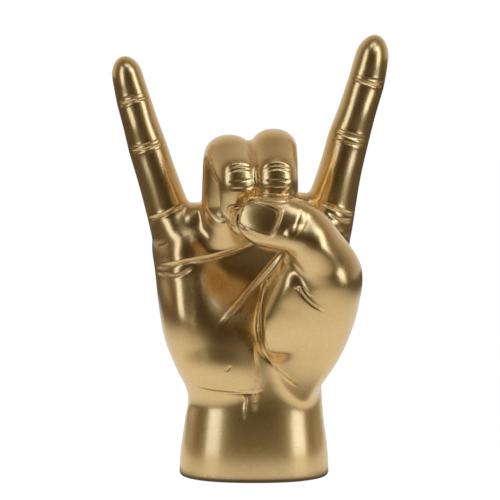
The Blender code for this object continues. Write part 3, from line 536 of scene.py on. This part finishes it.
def palm_rings():
    """The palm's outlines, from a spare length under the foot to its round top."""
    top = PALM_LEVELS[-1][0]
    rings = [palm_ring(0.0, at=-SPARE_FOOT)]
    rings += [palm_ring(top * k / PALM_STEPS) for k in range(PALM_STEPS + 1)]
    for degrees in PALM_TOP_DEGREES:
        a = math.radians(degrees)
        inset = PALM_TOP_ROUND * (1 - math.cos(a))
        rings.append(palm_ring(top, inset, top + PALM_TOP_ROUND * math.sin(a)))
    return rings


def loft(bm, rings):
    """A closed skin over the rings, with both ends filled."""
    rows = [[bm.verts.new(p) for p in ring] for ring in rings]
    count = len(rings[0])
    for low, high in zip(rows, rows[1:]):
        for k in range(count):
            n = (k + 1) % count
            bm.faces.new((low[k], low[n], high[n], high[k]))
    bm.faces.new(rows[0][::-1])
    bm.faces.new(rows[-1])


def mesh_object(name, bm):
    bmesh.ops.recalc_face_normals(bm, faces=bm.faces)
    mesh = bpy.data.meshes.new(name)
    bm.to_mesh(mesh)
    bm.free()
    return object_of(name, mesh)


def object_of(name, data):
    obj = bpy.data.objects.new(name, data)
    bpy.context.scene.collection.objects.link(obj)
    return obj


def modified_mesh(obj):
    """The object's mesh with its modifiers applied."""
    bpy.context.view_layer.update()
    graph = bpy.context.evaluated_depsgraph_get()
    return bpy.data.meshes.new_from_object(obj.evaluated_get(graph))


def settled(obj):
    """The same, with the object itself taken out of the scene."""
    mesh = modified_mesh(obj)
    bpy.data.objects.remove(obj, do_unlink=True)
    return mesh


def eased(share):
    """A share from 0 to 1, with a soft start and end."""
    return share * share * (3 - 2 * share)


def fused(bm, blend, fade):
    """The overlapping skins in bm as one skin, its inner corners filled over the blend's length.
    With a fade, smoothing dies out along the digits and takes little off the forms' girth."""
    obj = mesh_object("clay", bm)
    remesh = obj.modifiers.new("fuse", "REMESH")
    remesh.mode = "VOXEL"
    remesh.voxel_size = VOXEL
    obj = object_of("clay", settled(obj))
    before, facing = skin_arrays(obj.data)
    if fade:
        soft = obj.vertex_groups.new(name="soft")
        for index, weight in enumerate(softness(before).tolist()):
            soft.add((index,), weight, "REPLACE")
    smooth = obj.modifiers.new("smooth", "SMOOTH")
    smooth.factor = 0.5
    smooth.iterations = round((blend / VOXEL) ** 2)
    smooth.vertex_group = "soft" if fade else ""
    mesh = settled(obj)
    if fade:
        after, _ = skin_arrays(mesh)
        outward = ((after - before) * facing).sum(axis=1)
        kept = np.where(outward < 0, (1 - INWARD) * outward, 0)
        put_back(mesh, after - facing * kept[:, None])
    return mesh


def softness(places):
    """1 where the digits' roots are worked into the palm, fading to nothing along each, and little in
    the cleft round the thumb's ball."""
    weights = np.ones(len(places))
    for name, digit in DIGITS.items():
        row = spine(digit)[::2]
        points = np.array([tuple(p[0]) for p in row])
        stations = np.array([p[1] for p in row])
        reach = np.array([smooth_value(digit.sections, p[1], 1) for p in row]) * FADE_REACH
        index, nearest, apart = close_by(places, points, reach.max())
        close = apart < reach[nearest]
        index, nearest = index[close], nearest[close]
        low, high = FADE[name]
        along = np.clip((stations[nearest] - low) / (high - low), 0, 1)
        weights[index] = np.minimum(weights[index], 1 - eased(along))
    flat = np.array([(x, 0, z) for x, z in smooth_route(CLEFT_CREASE[0])])
    index, nearest, apart = close_by(places * (1, 0, 1), flat, CLEFT_SHARP)
    in_front = places[index, 1] < -CLEFT_FRONT
    index, nearest, apart = index[in_front], nearest[in_front], apart[in_front]
    along = nearest / (len(flat) - 1)
    come, go = CLEFT_ENDS
    ends = np.clip(np.minimum(along / come, (1 - along) / go), 0, 1)
    held = CLEFT_HOLD * ends * eased(1 - apart / CLEFT_SHARP)
    weights[index] = np.minimum(weights[index], 1 - held)
    return weights


def skin_arrays(mesh):
    """Where the mesh's points are, and which way its skin faces at each."""
    arrays = []
    for name in ("co", "normal"):
        values = np.empty(len(mesh.vertices) * 3, np.float32)
        mesh.vertices.foreach_get(name, values)
        arrays.append(values.reshape(-1, 3).astype(float))
    return arrays


def put_back(mesh, places):
    mesh.vertices.foreach_set("co", places.astype(np.float32).ravel())
    mesh.update()


def swell(mesh, swells, towards):
    """Lifts one side of the palm, -1 the palm side and 1 the back, over smooth round areas."""
    places, facing = skin_arrays(mesh)
    turned = np.clip((facing[:, 1] * towards + SWELL_TURN) / (1 - SWELL_TURN), 0, 1)
    lift = np.zeros(len(places))
    for across, height, half_width, half_height, rise in swells:
        x, z = (places[:, 0] - across) / half_width, (places[:, 2] - height) / half_height
        lift += rise * np.clip(1 - (x**2 + z**2), 0, 1) ** 2
    places[:, 1] += towards * lift * turned
    put_back(mesh, places)


def smooth_route(points):
    """A curve through the points, read off at even steps."""
    points = [np.array(p, float) for p in points]
    ends = [2 * points[0] - points[1], *points, 2 * points[-1] - points[-2]]
    route = []
    for a, b, c, d in zip(ends, ends[1:], ends[2:], ends[3:]):
        count = max(1, round(np.linalg.norm(c - b) / ROUTE_STEP))
        for k in range(count):
            t = k / count
            route.append(
                0.5 * (2 * b + (c - a) * t + (2 * a - 5 * b + 4 * c - d) * t**2
                       + (3 * b - a - 3 * c + d) * t**3)
            )
    return route + [points[-1]]


def seen(tree, starts, way):
    """Where rays meet the skin, each with the way it faces there."""
    hits = [tree.ray_cast(Vector(start), Vector(way)) for start in starts]
    return [(hit, facing) for hit, facing, _, _ in hits if hit is not None]


def palm_route(tree, points):
    """A route on the palm side, found from inside the hand."""
    return seen(tree, [(x, 0, z) for x, z in smooth_route(points)], (0, -1, 0))


def cleft_route(tree, points):
    """A route along the bottom of a cleft in the palm side, found near the one that is given."""
    towards_back = (0, 1, 0)
    bottom = []
    for x, z in smooth_route(points):
        steps = np.linspace(-CLEFT_REACH, CLEFT_REACH, CLEFT_LOOKS)
        hits = seen(tree, [(x + step, BEFORE_HAND, z) for step in steps], towards_back)
        bottom.append(max((hit for hit, _ in hits), key=lambda hit: hit.y).x)
    span = 2 * CLEFT_EVEN + 1
    bottom = np.convolve(np.pad(bottom, CLEFT_EVEN, "edge"), np.ones(span) / span, "valid")
    starts = [(x, BEFORE_HAND, z) for x, (_, z) in zip(bottom, smooth_route(points))]
    return seen(tree, starts, towards_back)


def local_frame(digit, station):
    """A digit's middle, direction, side and back at a station."""
    row = spine(digit)
    i = min(range(len(row)), key=lambda k: abs(row[k][1] - station))
    before, after = row[max(i - 1, 0)][0], row[min(i + 1, len(row) - 1)][0]
    way = (after - before).normalized()
    side = (row[i][2] - way * way.dot(row[i][2])).normalized()
    return row[i][0], way, side, way.cross(side)


def digit_route(tree, digit, station, middle_turn, half_turn, slant):
    """A route round a digit, in degrees from the middle of its pad, found from inside the digit. Its
    ends lie up or down the digit by the slant."""
    middle, way, side, back = local_frame(digit, station)
    route = []
    for turn in np.arange(-half_turn, half_turn + 1, ROUTE_DEGREES):
        a = math.radians(middle_turn + turn)
        lean = way * math.tan(math.radians(slant)) * (turn / half_turn) ** 2
        route += seen(tree, [middle], (side * math.sin(a) - back * math.cos(a) + lean).normalized())
    return route


def close_by(places, points, reach):
    """Which places lie within reach of a route, the route's nearest point to each, and how far."""
    near = np.all((places > points.min(axis=0) - reach) & (places < points.max(axis=0) + reach), axis=1)
    index = np.flatnonzero(near)
    nearest = np.zeros(len(index), int)
    for part in np.array_split(np.arange(len(index)), len(index) // BATCH + 1):
        apart = np.linalg.norm(places[index[part], None, :] - points[None, :, :], axis=2)
        nearest[part] = apart.argmin(axis=1)
    apart = np.linalg.norm(places[index] - points[nearest], axis=1)
    inside = apart < reach
    return index[inside], nearest[inside], apart[inside]


def crease(places, facing, route, half_width, depth, lips):
    """Sinks a sharp groove into the skin along a route, with a lip on either side, dying out at both
    ends. A negative depth lifts a ridge."""
    points = np.array([tuple(p) for p, _ in route])
    outward = np.array([tuple(n) for _, n in route])
    leftward = np.cross(outward, np.gradient(points, axis=0))
    index, nearest, apart = close_by(places, points, CREASE_REACH * half_width)
    across = apart / half_width
    along = nearest / (len(points) - 1)
    if depth < 0:
        ends = np.sin(np.pi * along)
    else:
        ends = np.clip(np.minimum(along, 1 - along) / CREASE_ENDS, 0, 1)
    same_side = np.clip((facing[index] * outward[nearest]).sum(axis=1), 0, 1)
    on_left = ((places[index] - points[nearest]) * leftward[nearest]).sum(axis=1) > 0
    lip = np.where(on_left, lips[0], lips[1]) * np.exp(-((across - LIP_PLACE) ** 2))
    rise = lip - depth * np.exp(-(across**GROOVE_POWER))
    places[index] += facing[index] * (rise * ends * same_side)[:, None]


def nail(places, facing, digit, station, half_length, half_width, sunk, turn):
    """Lays a nail into the back of a digit: a plate that is flatter than the flesh, in a narrow
    groove, with the flesh raised along its sides and its root, and a free edge that stands proud."""
    middle, way, side, back = (np.array(v) for v in local_frame(digit, station))
    c, s = math.cos(math.radians(turn)), math.sin(math.radians(turn))
    way, side = way * c + side * s, side * c - way * s
    offset = places - middle
    along, across, up = offset @ way / half_length, offset @ side / half_width, offset @ back
    radius = (np.abs(along) ** NAIL_POWER + np.abs(across) ** NAIL_POWER) ** (1 / NAIL_POWER)
    near = (radius < NAIL_REACH) & (up > 0) & (up < NAIL_TOP)
    here = np.flatnonzero(near & (facing @ back > NAIL_FACING))
    u, v, radius, height = along[here], across[here], radius[here], up[here]
    terms = np.stack([np.ones_like(u), u, u * u, v, v * v, u * v * v], axis=1)
    read = radius < NAIL_FLESH
    plate = np.linalg.lstsq(terms[read], height[read], rcond=None)[0] * PLATE_SHARES
    plate[0] -= sunk
    inside = eased(np.clip((1 - radius) / NAIL_STEP + 0.5, 0, 1))
    walled = np.clip(FREE_EDGE - u, 0, 1)
    rim, groove = (
        share * sunk * np.exp(-(((radius - place) / width) ** 2)) * walled
        for place, width, share in (NAIL_RIM, NAIL_GROOVE)
    )
    places[here] += back * (inside * (terms @ plate - height) + rim - groove)[:, None]


def crease_routes(mesh):
    """Every crease and ridge as (route, half width, depth, lips)."""
    bm = bmesh.new()
    bm.from_mesh(mesh)
    tree = BVHTree.FromBMesh(bm)
    bm.free()
    routes = [(palm_route(tree, points), *sizes) for points, *sizes in PALM_CREASES]
    points, *sizes = CLEFT_CREASE
    routes.append((cleft_route(tree, points), *sizes))
    for points, half_width, height in TENDONS:
        routes.append((palm_route(tree, points), half_width, -height, (0.0, 0.0)))
    for table, middle_turn, half_turn in ((PAD_CREASES, 0, PAD_TURN), (BACK_CREASES, 180, BACK_TURN)):
        for name, creases in table.items():
            for station, half_width, depth, slant in creases:
                route = digit_route(tree, DIGITS[name], station, middle_turn, half_turn, slant)
                routes.append((route, half_width, depth, (DIGIT_LIP * depth,) * 2))
    return [row for row in routes if len(row[0]) > 2]


def worked_finer(mesh, routes):
    """The mesh with its faces cut in four along the creases and at the nails."""
    places, facing = skin_arrays(mesh)
    fine = np.zeros(len(places), bool)
    share, more = FINE_AT_CREASE
    for route, half_width, _, _ in routes:
        points = np.array([tuple(p) for p, _ in route])
        fine[close_by(places, points, share * half_width + more)[0]] = True
    for name, (station, half_length, *_) in NAILS.items():
        middle, _, _, back = (np.array(v) for v in local_frame(DIGITS[name], station))
        offset = places - middle
        out = np.linalg.norm(offset - np.outer(offset @ back, back), axis=1)
        fine |= (offset @ back > 0) & (facing @ back > 0) & (out < FINE_AT_NAIL * half_length)
    bm = bmesh.new()
    bm.from_mesh(mesh)
    edges = [e for e in bm.edges if fine[e.verts[0].index] and fine[e.verts[1].index]]
    bmesh.ops.subdivide_edges(bm, edges=edges, cuts=1, use_grid_fill=True)
    bm.to_mesh(mesh)
    bm.free()
    mesh.update()


def carve(mesh):
    """The creases, the tendons and the nails."""
    routes = crease_routes(mesh)
    worked_finer(mesh, routes)
    places, facing = skin_arrays(mesh)
    for name, sizes in NAILS.items():
        nail(places, facing, DIGITS[name], *sizes)
    for route, half_width, depth, lips in routes:
        crease(places, facing, route, half_width, depth, lips)
    put_back(mesh, places)


def round_rim(mesh):
    """Draws the skin in towards the rim that the statue stands on."""
    places, facing = skin_arrays(mesh)
    rise = np.clip(places[:, 2] - FOOT, 0, RIM_ROUND)
    inset = RIM_ROUND - np.sqrt(RIM_ROUND**2 - (RIM_ROUND - rise) ** 2)
    level = facing[:, :2] / np.maximum(np.linalg.norm(facing[:, :2], axis=1), 1e-6)[:, None]
    places[:, :2] -= level * inset[:, None]
    put_back(mesh, places)


def pad(bm, pads):
    for centre, radii in pads:
        matrix = Matrix.Translation(centre) @ Matrix.Diagonal((*radii, 1.0))
        bmesh.ops.create_icosphere(bm, subdivisions=PAD_FACETS, radius=1.0, matrix=matrix)


def hand_mesh():
    """The whole hand before its folds: roots and palm first, then what lies against them."""
    clay = bmesh.new()
    loft(clay, palm_rings())
    for name, end in ROOT_ENDS.items():
        loft(clay, digit_rings(DIGITS[name], last=end))
    loft(clay, digit_rings(THUMB_BALL))
    pad(clay, WEB_PADS)
    rough = fused(clay, ROOT_BLEND, True)
    swell(rough, FRONT_SWELLS, -1)
    swell(rough, BACK_SWELLS, 1)
    clay = bmesh.new()
    clay.from_mesh(rough)
    for name, start in CONTACT_STARTS.items():
        loft(clay, digit_rings(DIGITS[name], start))
    web = web_between(DIGITS["middle"], DIGITS["ring"], WEB_SHY)
    loft(clay, digit_rings(web, WEB_START))
    pad(clay, FOLD_PADS)
    return fused(clay, CONTACT_BLEND, False)


def thinned(mesh, triangles):
    """The mesh with its flatter stretches drawn in fewer faces."""
    obj = object_of("clay", mesh)
    fewer = obj.modifiers.new("fewer faces", "DECIMATE")
    fewer.ratio = min(1.0, triangles / sum(len(p.vertices) - 2 for p in mesh.polygons))
    return settled(obj)


def cut_out(obj, cutter):
    """Takes the cutter's space out of the object, and the cutter out of the scene."""
    boolean = obj.modifiers.new(cutter.name, "BOOLEAN")
    boolean.operation = "DIFFERENCE"
    boolean.solver = "MANIFOLD"
    boolean.object = cutter
    mesh = modified_mesh(obj)
    obj.modifiers.clear()
    obj.data = mesh
    bpy.data.objects.remove(cutter, do_unlink=True)


def stack(name, levels):
    """A solid over the palm's outlines, each as (its height, inset, the height it is set at)."""
    bm = bmesh.new()
    loft(bm, [palm_ring(height, inset, at, HOLLOW_SIDES) for height, inset, at in levels])
    return mesh_object(name, bm)


def hollow_levels():
    """The hollow's levels: along the hand's wall, and in to a domed top."""
    count = round((HOLLOW_TOP - LEDGE) / HOLLOW_STEP)
    levels = [(LEDGE, WALL, LEDGE - PLATE_THICK)]
    levels += [(z, WALL, z) for z in np.linspace(LEDGE, HOLLOW_TOP, count + 1)]
    for a in map(math.radians, DOME_DEGREES):
        inset, rise = HOLLOW_DOME * (1 - math.cos(a)), HOLLOW_DOME * math.sin(a)
        levels.append((HOLLOW_TOP, WALL + inset, HOLLOW_TOP + rise))
    return levels


def bore_route(name):
    """The middle of a wire's bore: from well inside the hollow, through the knuckle and on along the
    bones."""
    digit = DIGITS[name]
    start = Vector(WIRE_START[name])
    start += (start - digit.joints[0]).normalized() * BORE_REACH
    bones = [p[0] for p in spine(digit) if p[1] <= WIRE_END][::4]
    return [start, *bones]


def tube(name, route, radius):
    """A round bar along a route."""
    rings = []
    for i, point in enumerate(route):
        way = (route[min(i + 1, len(route) - 1)] - route[max(i - 1, 0)]).normalized()
        side = Vector((0, 1, 0)).cross(way).normalized()
        back = way.cross(side)
        rings.append([
            point + (side * math.cos(a) + back * math.sin(a)) * radius
            for a in (2 * math.pi * k / WIRE_SIDES for k in range(WIRE_SIDES))
        ])
    bm = bmesh.new()
    loft(bm, rings)
    return mesh_object(name, bm)


def hand_statue():
    """The hand's skin and its inside: cut flat at the foot, with the recess, the hollow and the bores
    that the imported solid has."""
    mesh = hand_mesh()
    carve(mesh)
    round_rim(mesh)
    mesh = thinned(mesh, HAND_TRIANGLES)
    mesh.name = "hand_skin"
    hand = object_of("hand_skin", mesh)
    below = FOOT - CUTTER_REACH
    cut_out(hand, stack("floor_cutter", [(0.0, -CUTTER_REACH, below), (0.0, -CUTTER_REACH, FOOT)]))
    cut_out(hand, stack("recess_cutter", [(0.0, RIM_WIDTH, below), (0.0, RIM_WIDTH, LEDGE)]))
    cut_out(hand, stack("hollow_cutter", hollow_levels()))
    for name in WIRE_START:
        cut_out(hand, tube(name + "_bore", bore_route(name), WIRE_RADIUS + WIRE_CLEARANCE))
    hand.data.shade_smooth()
    hand.data.set_sharp_from_angle(angle=math.radians(SHARP_DEGREES))
    return hand


class Nodes:
    """The nodes of a material or of the world."""

    def __init__(self, tree):
        self.tree = tree

    def feed(self, node, values):
        """Gives a node's sockets, by name or number, their values or what they are joined to."""
        for name, value in values.items():
            if isinstance(value, bpy.types.NodeSocket):
                self.tree.links.new(value, node.inputs[name])
            else:
                node.inputs[name].default_value = value

    def add(self, kind, *sources, **values):
        """A node, with its first sockets fed in order, and the others and its settings by name."""
        node = self.tree.nodes.new(kind)
        for name in [name for name in values if hasattr(node, name)]:
            setattr(node, name, values.pop(name))
        self.feed(node, {**dict(enumerate(sources)), **values})
        return node

    def ramp(self, factor, *stops):
        """Colours or grey values by factor."""
        node = self.add("ShaderNodeValToRGB", factor)
        points = node.color_ramp.elements
        while len(points) < len(stops):
            points.new(0.5)
        for point, (at, value) in zip(points, stops):
            point.position = at
            point.color = (*value, 1) if isinstance(value, tuple) else (value, value, value, 1)
        return node.outputs["Color"]

    def blend(self, factor, first, second):
        """One shader or the other by factor."""
        return self.add("ShaderNodeMixShader", factor, first, second).outputs[0]


class Finish(Nodes):
    """A material and the nodes that make it."""

    def __init__(self, name):
        self.material = bpy.data.materials.new(name)
        self.material.use_nodes = True
        super().__init__(self.material.node_tree)
        self.surface = self.tree.nodes["Principled BSDF"]

    def place(self):
        """The point on the surface, in metres."""
        return self.add("ShaderNodeTexCoord").outputs["Object"]

    def away(self, stretch, back=0.0):
        """How far the point lies from the floor's middle, or from a place behind it."""
        scale, shift = (stretch, 1.0, 1.0), (0.0, -back, 0.0)
        place = self.add("ShaderNodeVectorMath", self.place(), scale, shift, operation="MULTIPLY_ADD")
        return self.add("ShaderNodeVectorMath", place.outputs[0], operation="LENGTH").outputs["Value"]

    def noise(self, scale, detail, stretch=None):
        place = self.place()
        if stretch:
            place = self.add("ShaderNodeMapping", Vector=place, Scale=stretch).outputs["Vector"]
        return self.add("ShaderNodeTexNoise", Vector=place, Scale=scale, Detail=detail).outputs["Fac"]

    def bump(self, height, distance):
        node = self.add("ShaderNodeBump", Height=height, Distance=distance, Strength=1.0)
        return node.outputs["Normal"]


# The gold paint: its ground and its flecks, each from darker to lighter, how rough each of the two is,
# its clear coat, and the fineness per metre of flecks, clouds of colour and grain.
GOLD_GROUND = ((0.86, 0.57, 0.19), (0.9, 0.61, 0.22))
GOLD_FLECKS = ((0.92, 0.65, 0.26), (0.96, 0.69, 0.29))
GOLD_ROUGHNESS = ((0.0, 0.33), (1.0, 0.27))
GOLD_COAT = {"Metallic": 1.0, "Coat Weight": 1.0, "Coat IOR": 2.1, "Coat Roughness": 0.16}
FLECKS = 2600.0
FLECK_SHARES = ((0.2, 0.0), (0.95, 1.0))
CLOUDS = 60.0
GRAIN = 1500.0
GRAIN_DEPTH = 0.00001

# The inner pieces' finishes: the pieces, the name, the colour, metallic, roughness, how much the colour
# varies, and the grain's fineness, depth and stretch.
FINISHES = (
    (("ballast_block",), "plaster", (0.8, 0.78, 0.73), 0.0, 0.9, 0.05, 300, 0.0002),
    (("base_plate",), "black_plastic", (0.03, 0.03, 0.03), 0.0, 0.45, 0.15, 2500, 0.00002),
    (("felt_pad",), "felt", (0.05, 0.04, 0.03), 0.0, 0.95, 0.35, 2200, 0.0003),
    (("index_finger_wire", "little_finger_wire"), "steel",
     (0.55, 0.55, 0.57), 1.0, 0.35, 0.08, 900, 0.00001, (1, 1, 0.03)),
)


def gold_finish():
    """Satin gold paint: pale smooth flecks in a deeper, rougher ground, under a clear coat."""
    gold = Finish("gold_paint")
    cells = gold.add("ShaderNodeTexVoronoi", Vector=gold.place(), Scale=FLECKS)
    fleck = gold.ramp(cells.outputs["Color"], *FLECK_SHARES)
    cloud = gold.noise(CLOUDS, 3.0)
    ground, pale = (gold.ramp(cloud, (0.3, a), (0.7, b)) for a, b in (GOLD_GROUND, GOLD_FLECKS))
    mixed = gold.add("ShaderNodeMix", fleck, data_type="RGBA")
    gold.feed(mixed, {6: ground, 7: pale})
    gold.feed(gold.surface, {
        "Base Color": mixed.outputs[2],
        "Roughness": gold.ramp(fleck, *GOLD_ROUGHNESS),
        "Normal": gold.bump(gold.noise(GRAIN, 2.0), GRAIN_DEPTH),
        **GOLD_COAT,
    })
    return gold.material


def plain_finish(name, colour, metallic, roughness, grain, scale, depth, stretch=None):
    """A finish with a grain in its colour and its surface."""
    finish = Finish(name)
    spread = finish.noise(scale, 4.0, stretch)
    darker = tuple(c * (1 - grain) for c in colour)
    lighter = tuple(min(1.0, c * (1 + grain)) for c in colour)
    finish.feed(finish.surface, {
        "Base Color": finish.ramp(spread, (0.3, darker), (0.7, lighter)),
        "Roughness": finish.ramp(spread, (0.3, roughness * 0.9), (0.7, min(1.0, roughness * 1.1))),
        "Metallic": metallic,
        "Normal": finish.bump(spread, depth),
    })
    return finish.material


def wear(obj, finish):
    obj.data.materials.clear()
    obj.data.materials.append(finish)


# The room's brightness by direction, from straight behind the statue, 0, to behind the camera, 1.
ROOM = (
    (0.0, (0.72, 0.68, 0.62)),
    (0.36, (0.42, 0.37, 0.3)),
    (0.56, (0.14, 0.086, 0.04)),
    (0.78, (0.04, 0.021, 0.006)),
)

# The floor: its radius, its glow to the camera and the share of it in what the camera sees. Then its
# painted brightness to reflections, a painted pool of light by metres from a place behind the statue
# and faster to the sides, and how much of that a painted shade leaves round the foot, by metres from
# the foot's middle.
FLOOR_RADIUS = 2.5
FLOOR_GLOW = 1.09
GLOW_SHARE = 0.9
FLOOR = (
    (0.34, (0.72, 0.69, 0.63)),
    (0.43, (0.48, 0.45, 0.4)),
    (0.58, (0.08, 0.06, 0.04)),
)
FLOOR_BACK = 0.25
FLOOR_NARROW = 1.6
# painted shade: the floor's glow to reflections dimmed close round the foot
FLOOR_PAINTED_SHADE = ((0.025, 0.1), (0.041, 1.0))

# The panels: side, distance, height, size, power and the height that they are turned to.
PANELS = (
    ("left_panel", -45, 0.9, 0.54, (0.36, 1.14), 2.1, 0.54),
    ("right_panel", 51, 0.9, 0.54, (0.38, 1.14), 2.7, 0.54),
    ("upper_panel", 34, 0.7, 0.85, (0.36, 0.34), 0.6, 0.12),
    ("overhead_panel", 8, 0.45, 1.1, (0.6, 0.24), 0.7, 0.14),
)
PANEL_COLOUR = (0.8, 0.88, 1.0)

# Where the camera looks, from how far and how high, and how much one pixel of 500 covers there.
TARGET = (-0.0018, 0.0, 0.10427)
DISTANCE = 1.2
ELEVATION = 5.5
PIXEL = 0.0004574
PIXELS = 500
SENSOR = 36


def white_floor():
    """The floor: white to the camera, with a faint shadow of the statue. To reflections it glows with a
    painted pool of light round and behind the statue, and a painted shade round the foot.
    """
    bpy.ops.mesh.primitive_circle_add(vertices=96, radius=FLOOR_RADIUS, fill_type="NGON")
    floor = bpy.context.object
    floor.name = "floor"
    paint = Finish("floor_white")
    paint.feed(paint.surface, {"Base Color": (0.9, 0.9, 0.9, 1), "Roughness": 0.9})
    path = paint.add("ShaderNodeLightPath").outputs
    share = paint.add("ShaderNodeMath", path["Is Camera Ray"], GLOW_SHARE, operation="MULTIPLY")
    glow = paint.add("ShaderNodeEmission", Strength=FLOOR_GLOW)
    seen = paint.blend(share.outputs[0], paint.surface.outputs[0], glow.outputs[0])
    # painted pool of light: the floor's glow to reflections, bright behind the statue and fading away
    # from it
    pale = paint.ramp(paint.away(FLOOR_NARROW, FLOOR_BACK), *FLOOR)
    # painted shade: dims that glow round the foot, by distance from the foot's middle
    shade = paint.ramp(paint.away(FOOT_FRONT / FOOT_HALF_WIDTH), *FLOOR_PAINTED_SHADE)
    # a glow that only reflections see, carrying the painted pool of light and the painted shade
    painted_reflection_glow = paint.add("ShaderNodeEmission", Color=pale, Strength=shade)
    mixed = paint.blend(path["Is Glossy Ray"], seen, painted_reflection_glow.outputs[0])
    paint.feed(paint.tree.nodes["Material Output"], {"Surface": mixed})
    floor.data.materials.append(paint.material)


def studio_world():
    """White to the camera. To the statue, a pale room whose front, behind the camera, is dark."""
    world = bpy.data.worlds.new("studio")
    bpy.context.scene.world = world
    world.use_nodes = True
    world.node_tree.nodes.clear()
    sky = Nodes(world.node_tree)
    way = sky.add("ShaderNodeTexCoord").outputs["Generated"]
    front = sky.add("ShaderNodeVectorMath", way, (0, -1, 0), operation="DOT_PRODUCT").outputs["Value"]
    share = sky.add("ShaderNodeMath", front, 0.5, 0.5, operation="MULTIPLY_ADD").outputs[0]
    room = sky.add("ShaderNodeBackground", Color=sky.ramp(share, *ROOM)).outputs[0]
    white = sky.add("ShaderNodeBackground", Color=(1, 1, 1, 1)).outputs[0]
    to_camera = sky.add("ShaderNodeLightPath").outputs["Is Camera Ray"]
    sky.add("ShaderNodeOutputWorld", Surface=sky.blend(to_camera, room, white))


def placed(name, data, location, way):
    """A lamp or a camera at a place, turned to look a way."""
    obj = object_of(name, data)
    obj.location = location
    obj.rotation_mode = "QUATERNION"
    obj.rotation_quaternion = way.to_track_quat("-Z", "Y")
    return obj


def studio_lights():
    """The panels round the statue, in degrees from the camera's side towards +X."""
    for name, degrees, distance, height, size, power, aim_at in PANELS:
        lamp = bpy.data.lights.new(name, "AREA")
        lamp.shape = "RECTANGLE"
        lamp.size, lamp.size_y = size
        lamp.energy = power
        lamp.color = PANEL_COLOUR
        a = math.radians(degrees)
        location = Vector((math.sin(a) * distance, -math.cos(a) * distance, height))
        placed(name, lamp, location, Vector((0, 0, aim_at)) - location)


def photo_camera():
    camera = bpy.data.cameras.new("camera")
    camera.sensor_width = SENSOR
    camera.lens = SENSOR * DISTANCE / (PIXELS * PIXEL)
    e = math.radians(ELEVATION)
    away = Vector((0, -math.cos(e), math.sin(e)))
    bpy.context.scene.camera = placed("camera", camera, Vector(TARGET) + away * DISTANCE, -away)


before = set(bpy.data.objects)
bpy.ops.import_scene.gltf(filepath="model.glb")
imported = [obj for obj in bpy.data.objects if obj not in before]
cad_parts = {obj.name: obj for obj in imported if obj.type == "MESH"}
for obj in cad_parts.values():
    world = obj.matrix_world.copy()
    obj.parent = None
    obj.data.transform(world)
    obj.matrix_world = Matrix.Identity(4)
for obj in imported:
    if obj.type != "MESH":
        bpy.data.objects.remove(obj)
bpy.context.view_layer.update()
photo_camera()

hand = hand_statue()
wear(hand, gold_finish())
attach(hand, "root")
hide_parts("hand_casting")

for pieces, *values in FINISHES:
    finish = plain_finish(*values)
    for name in pieces:
        wear(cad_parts[name], finish)

white_floor()
studio_world()
studio_lights()
bpy.context.scene.view_settings.view_transform = "Standard"
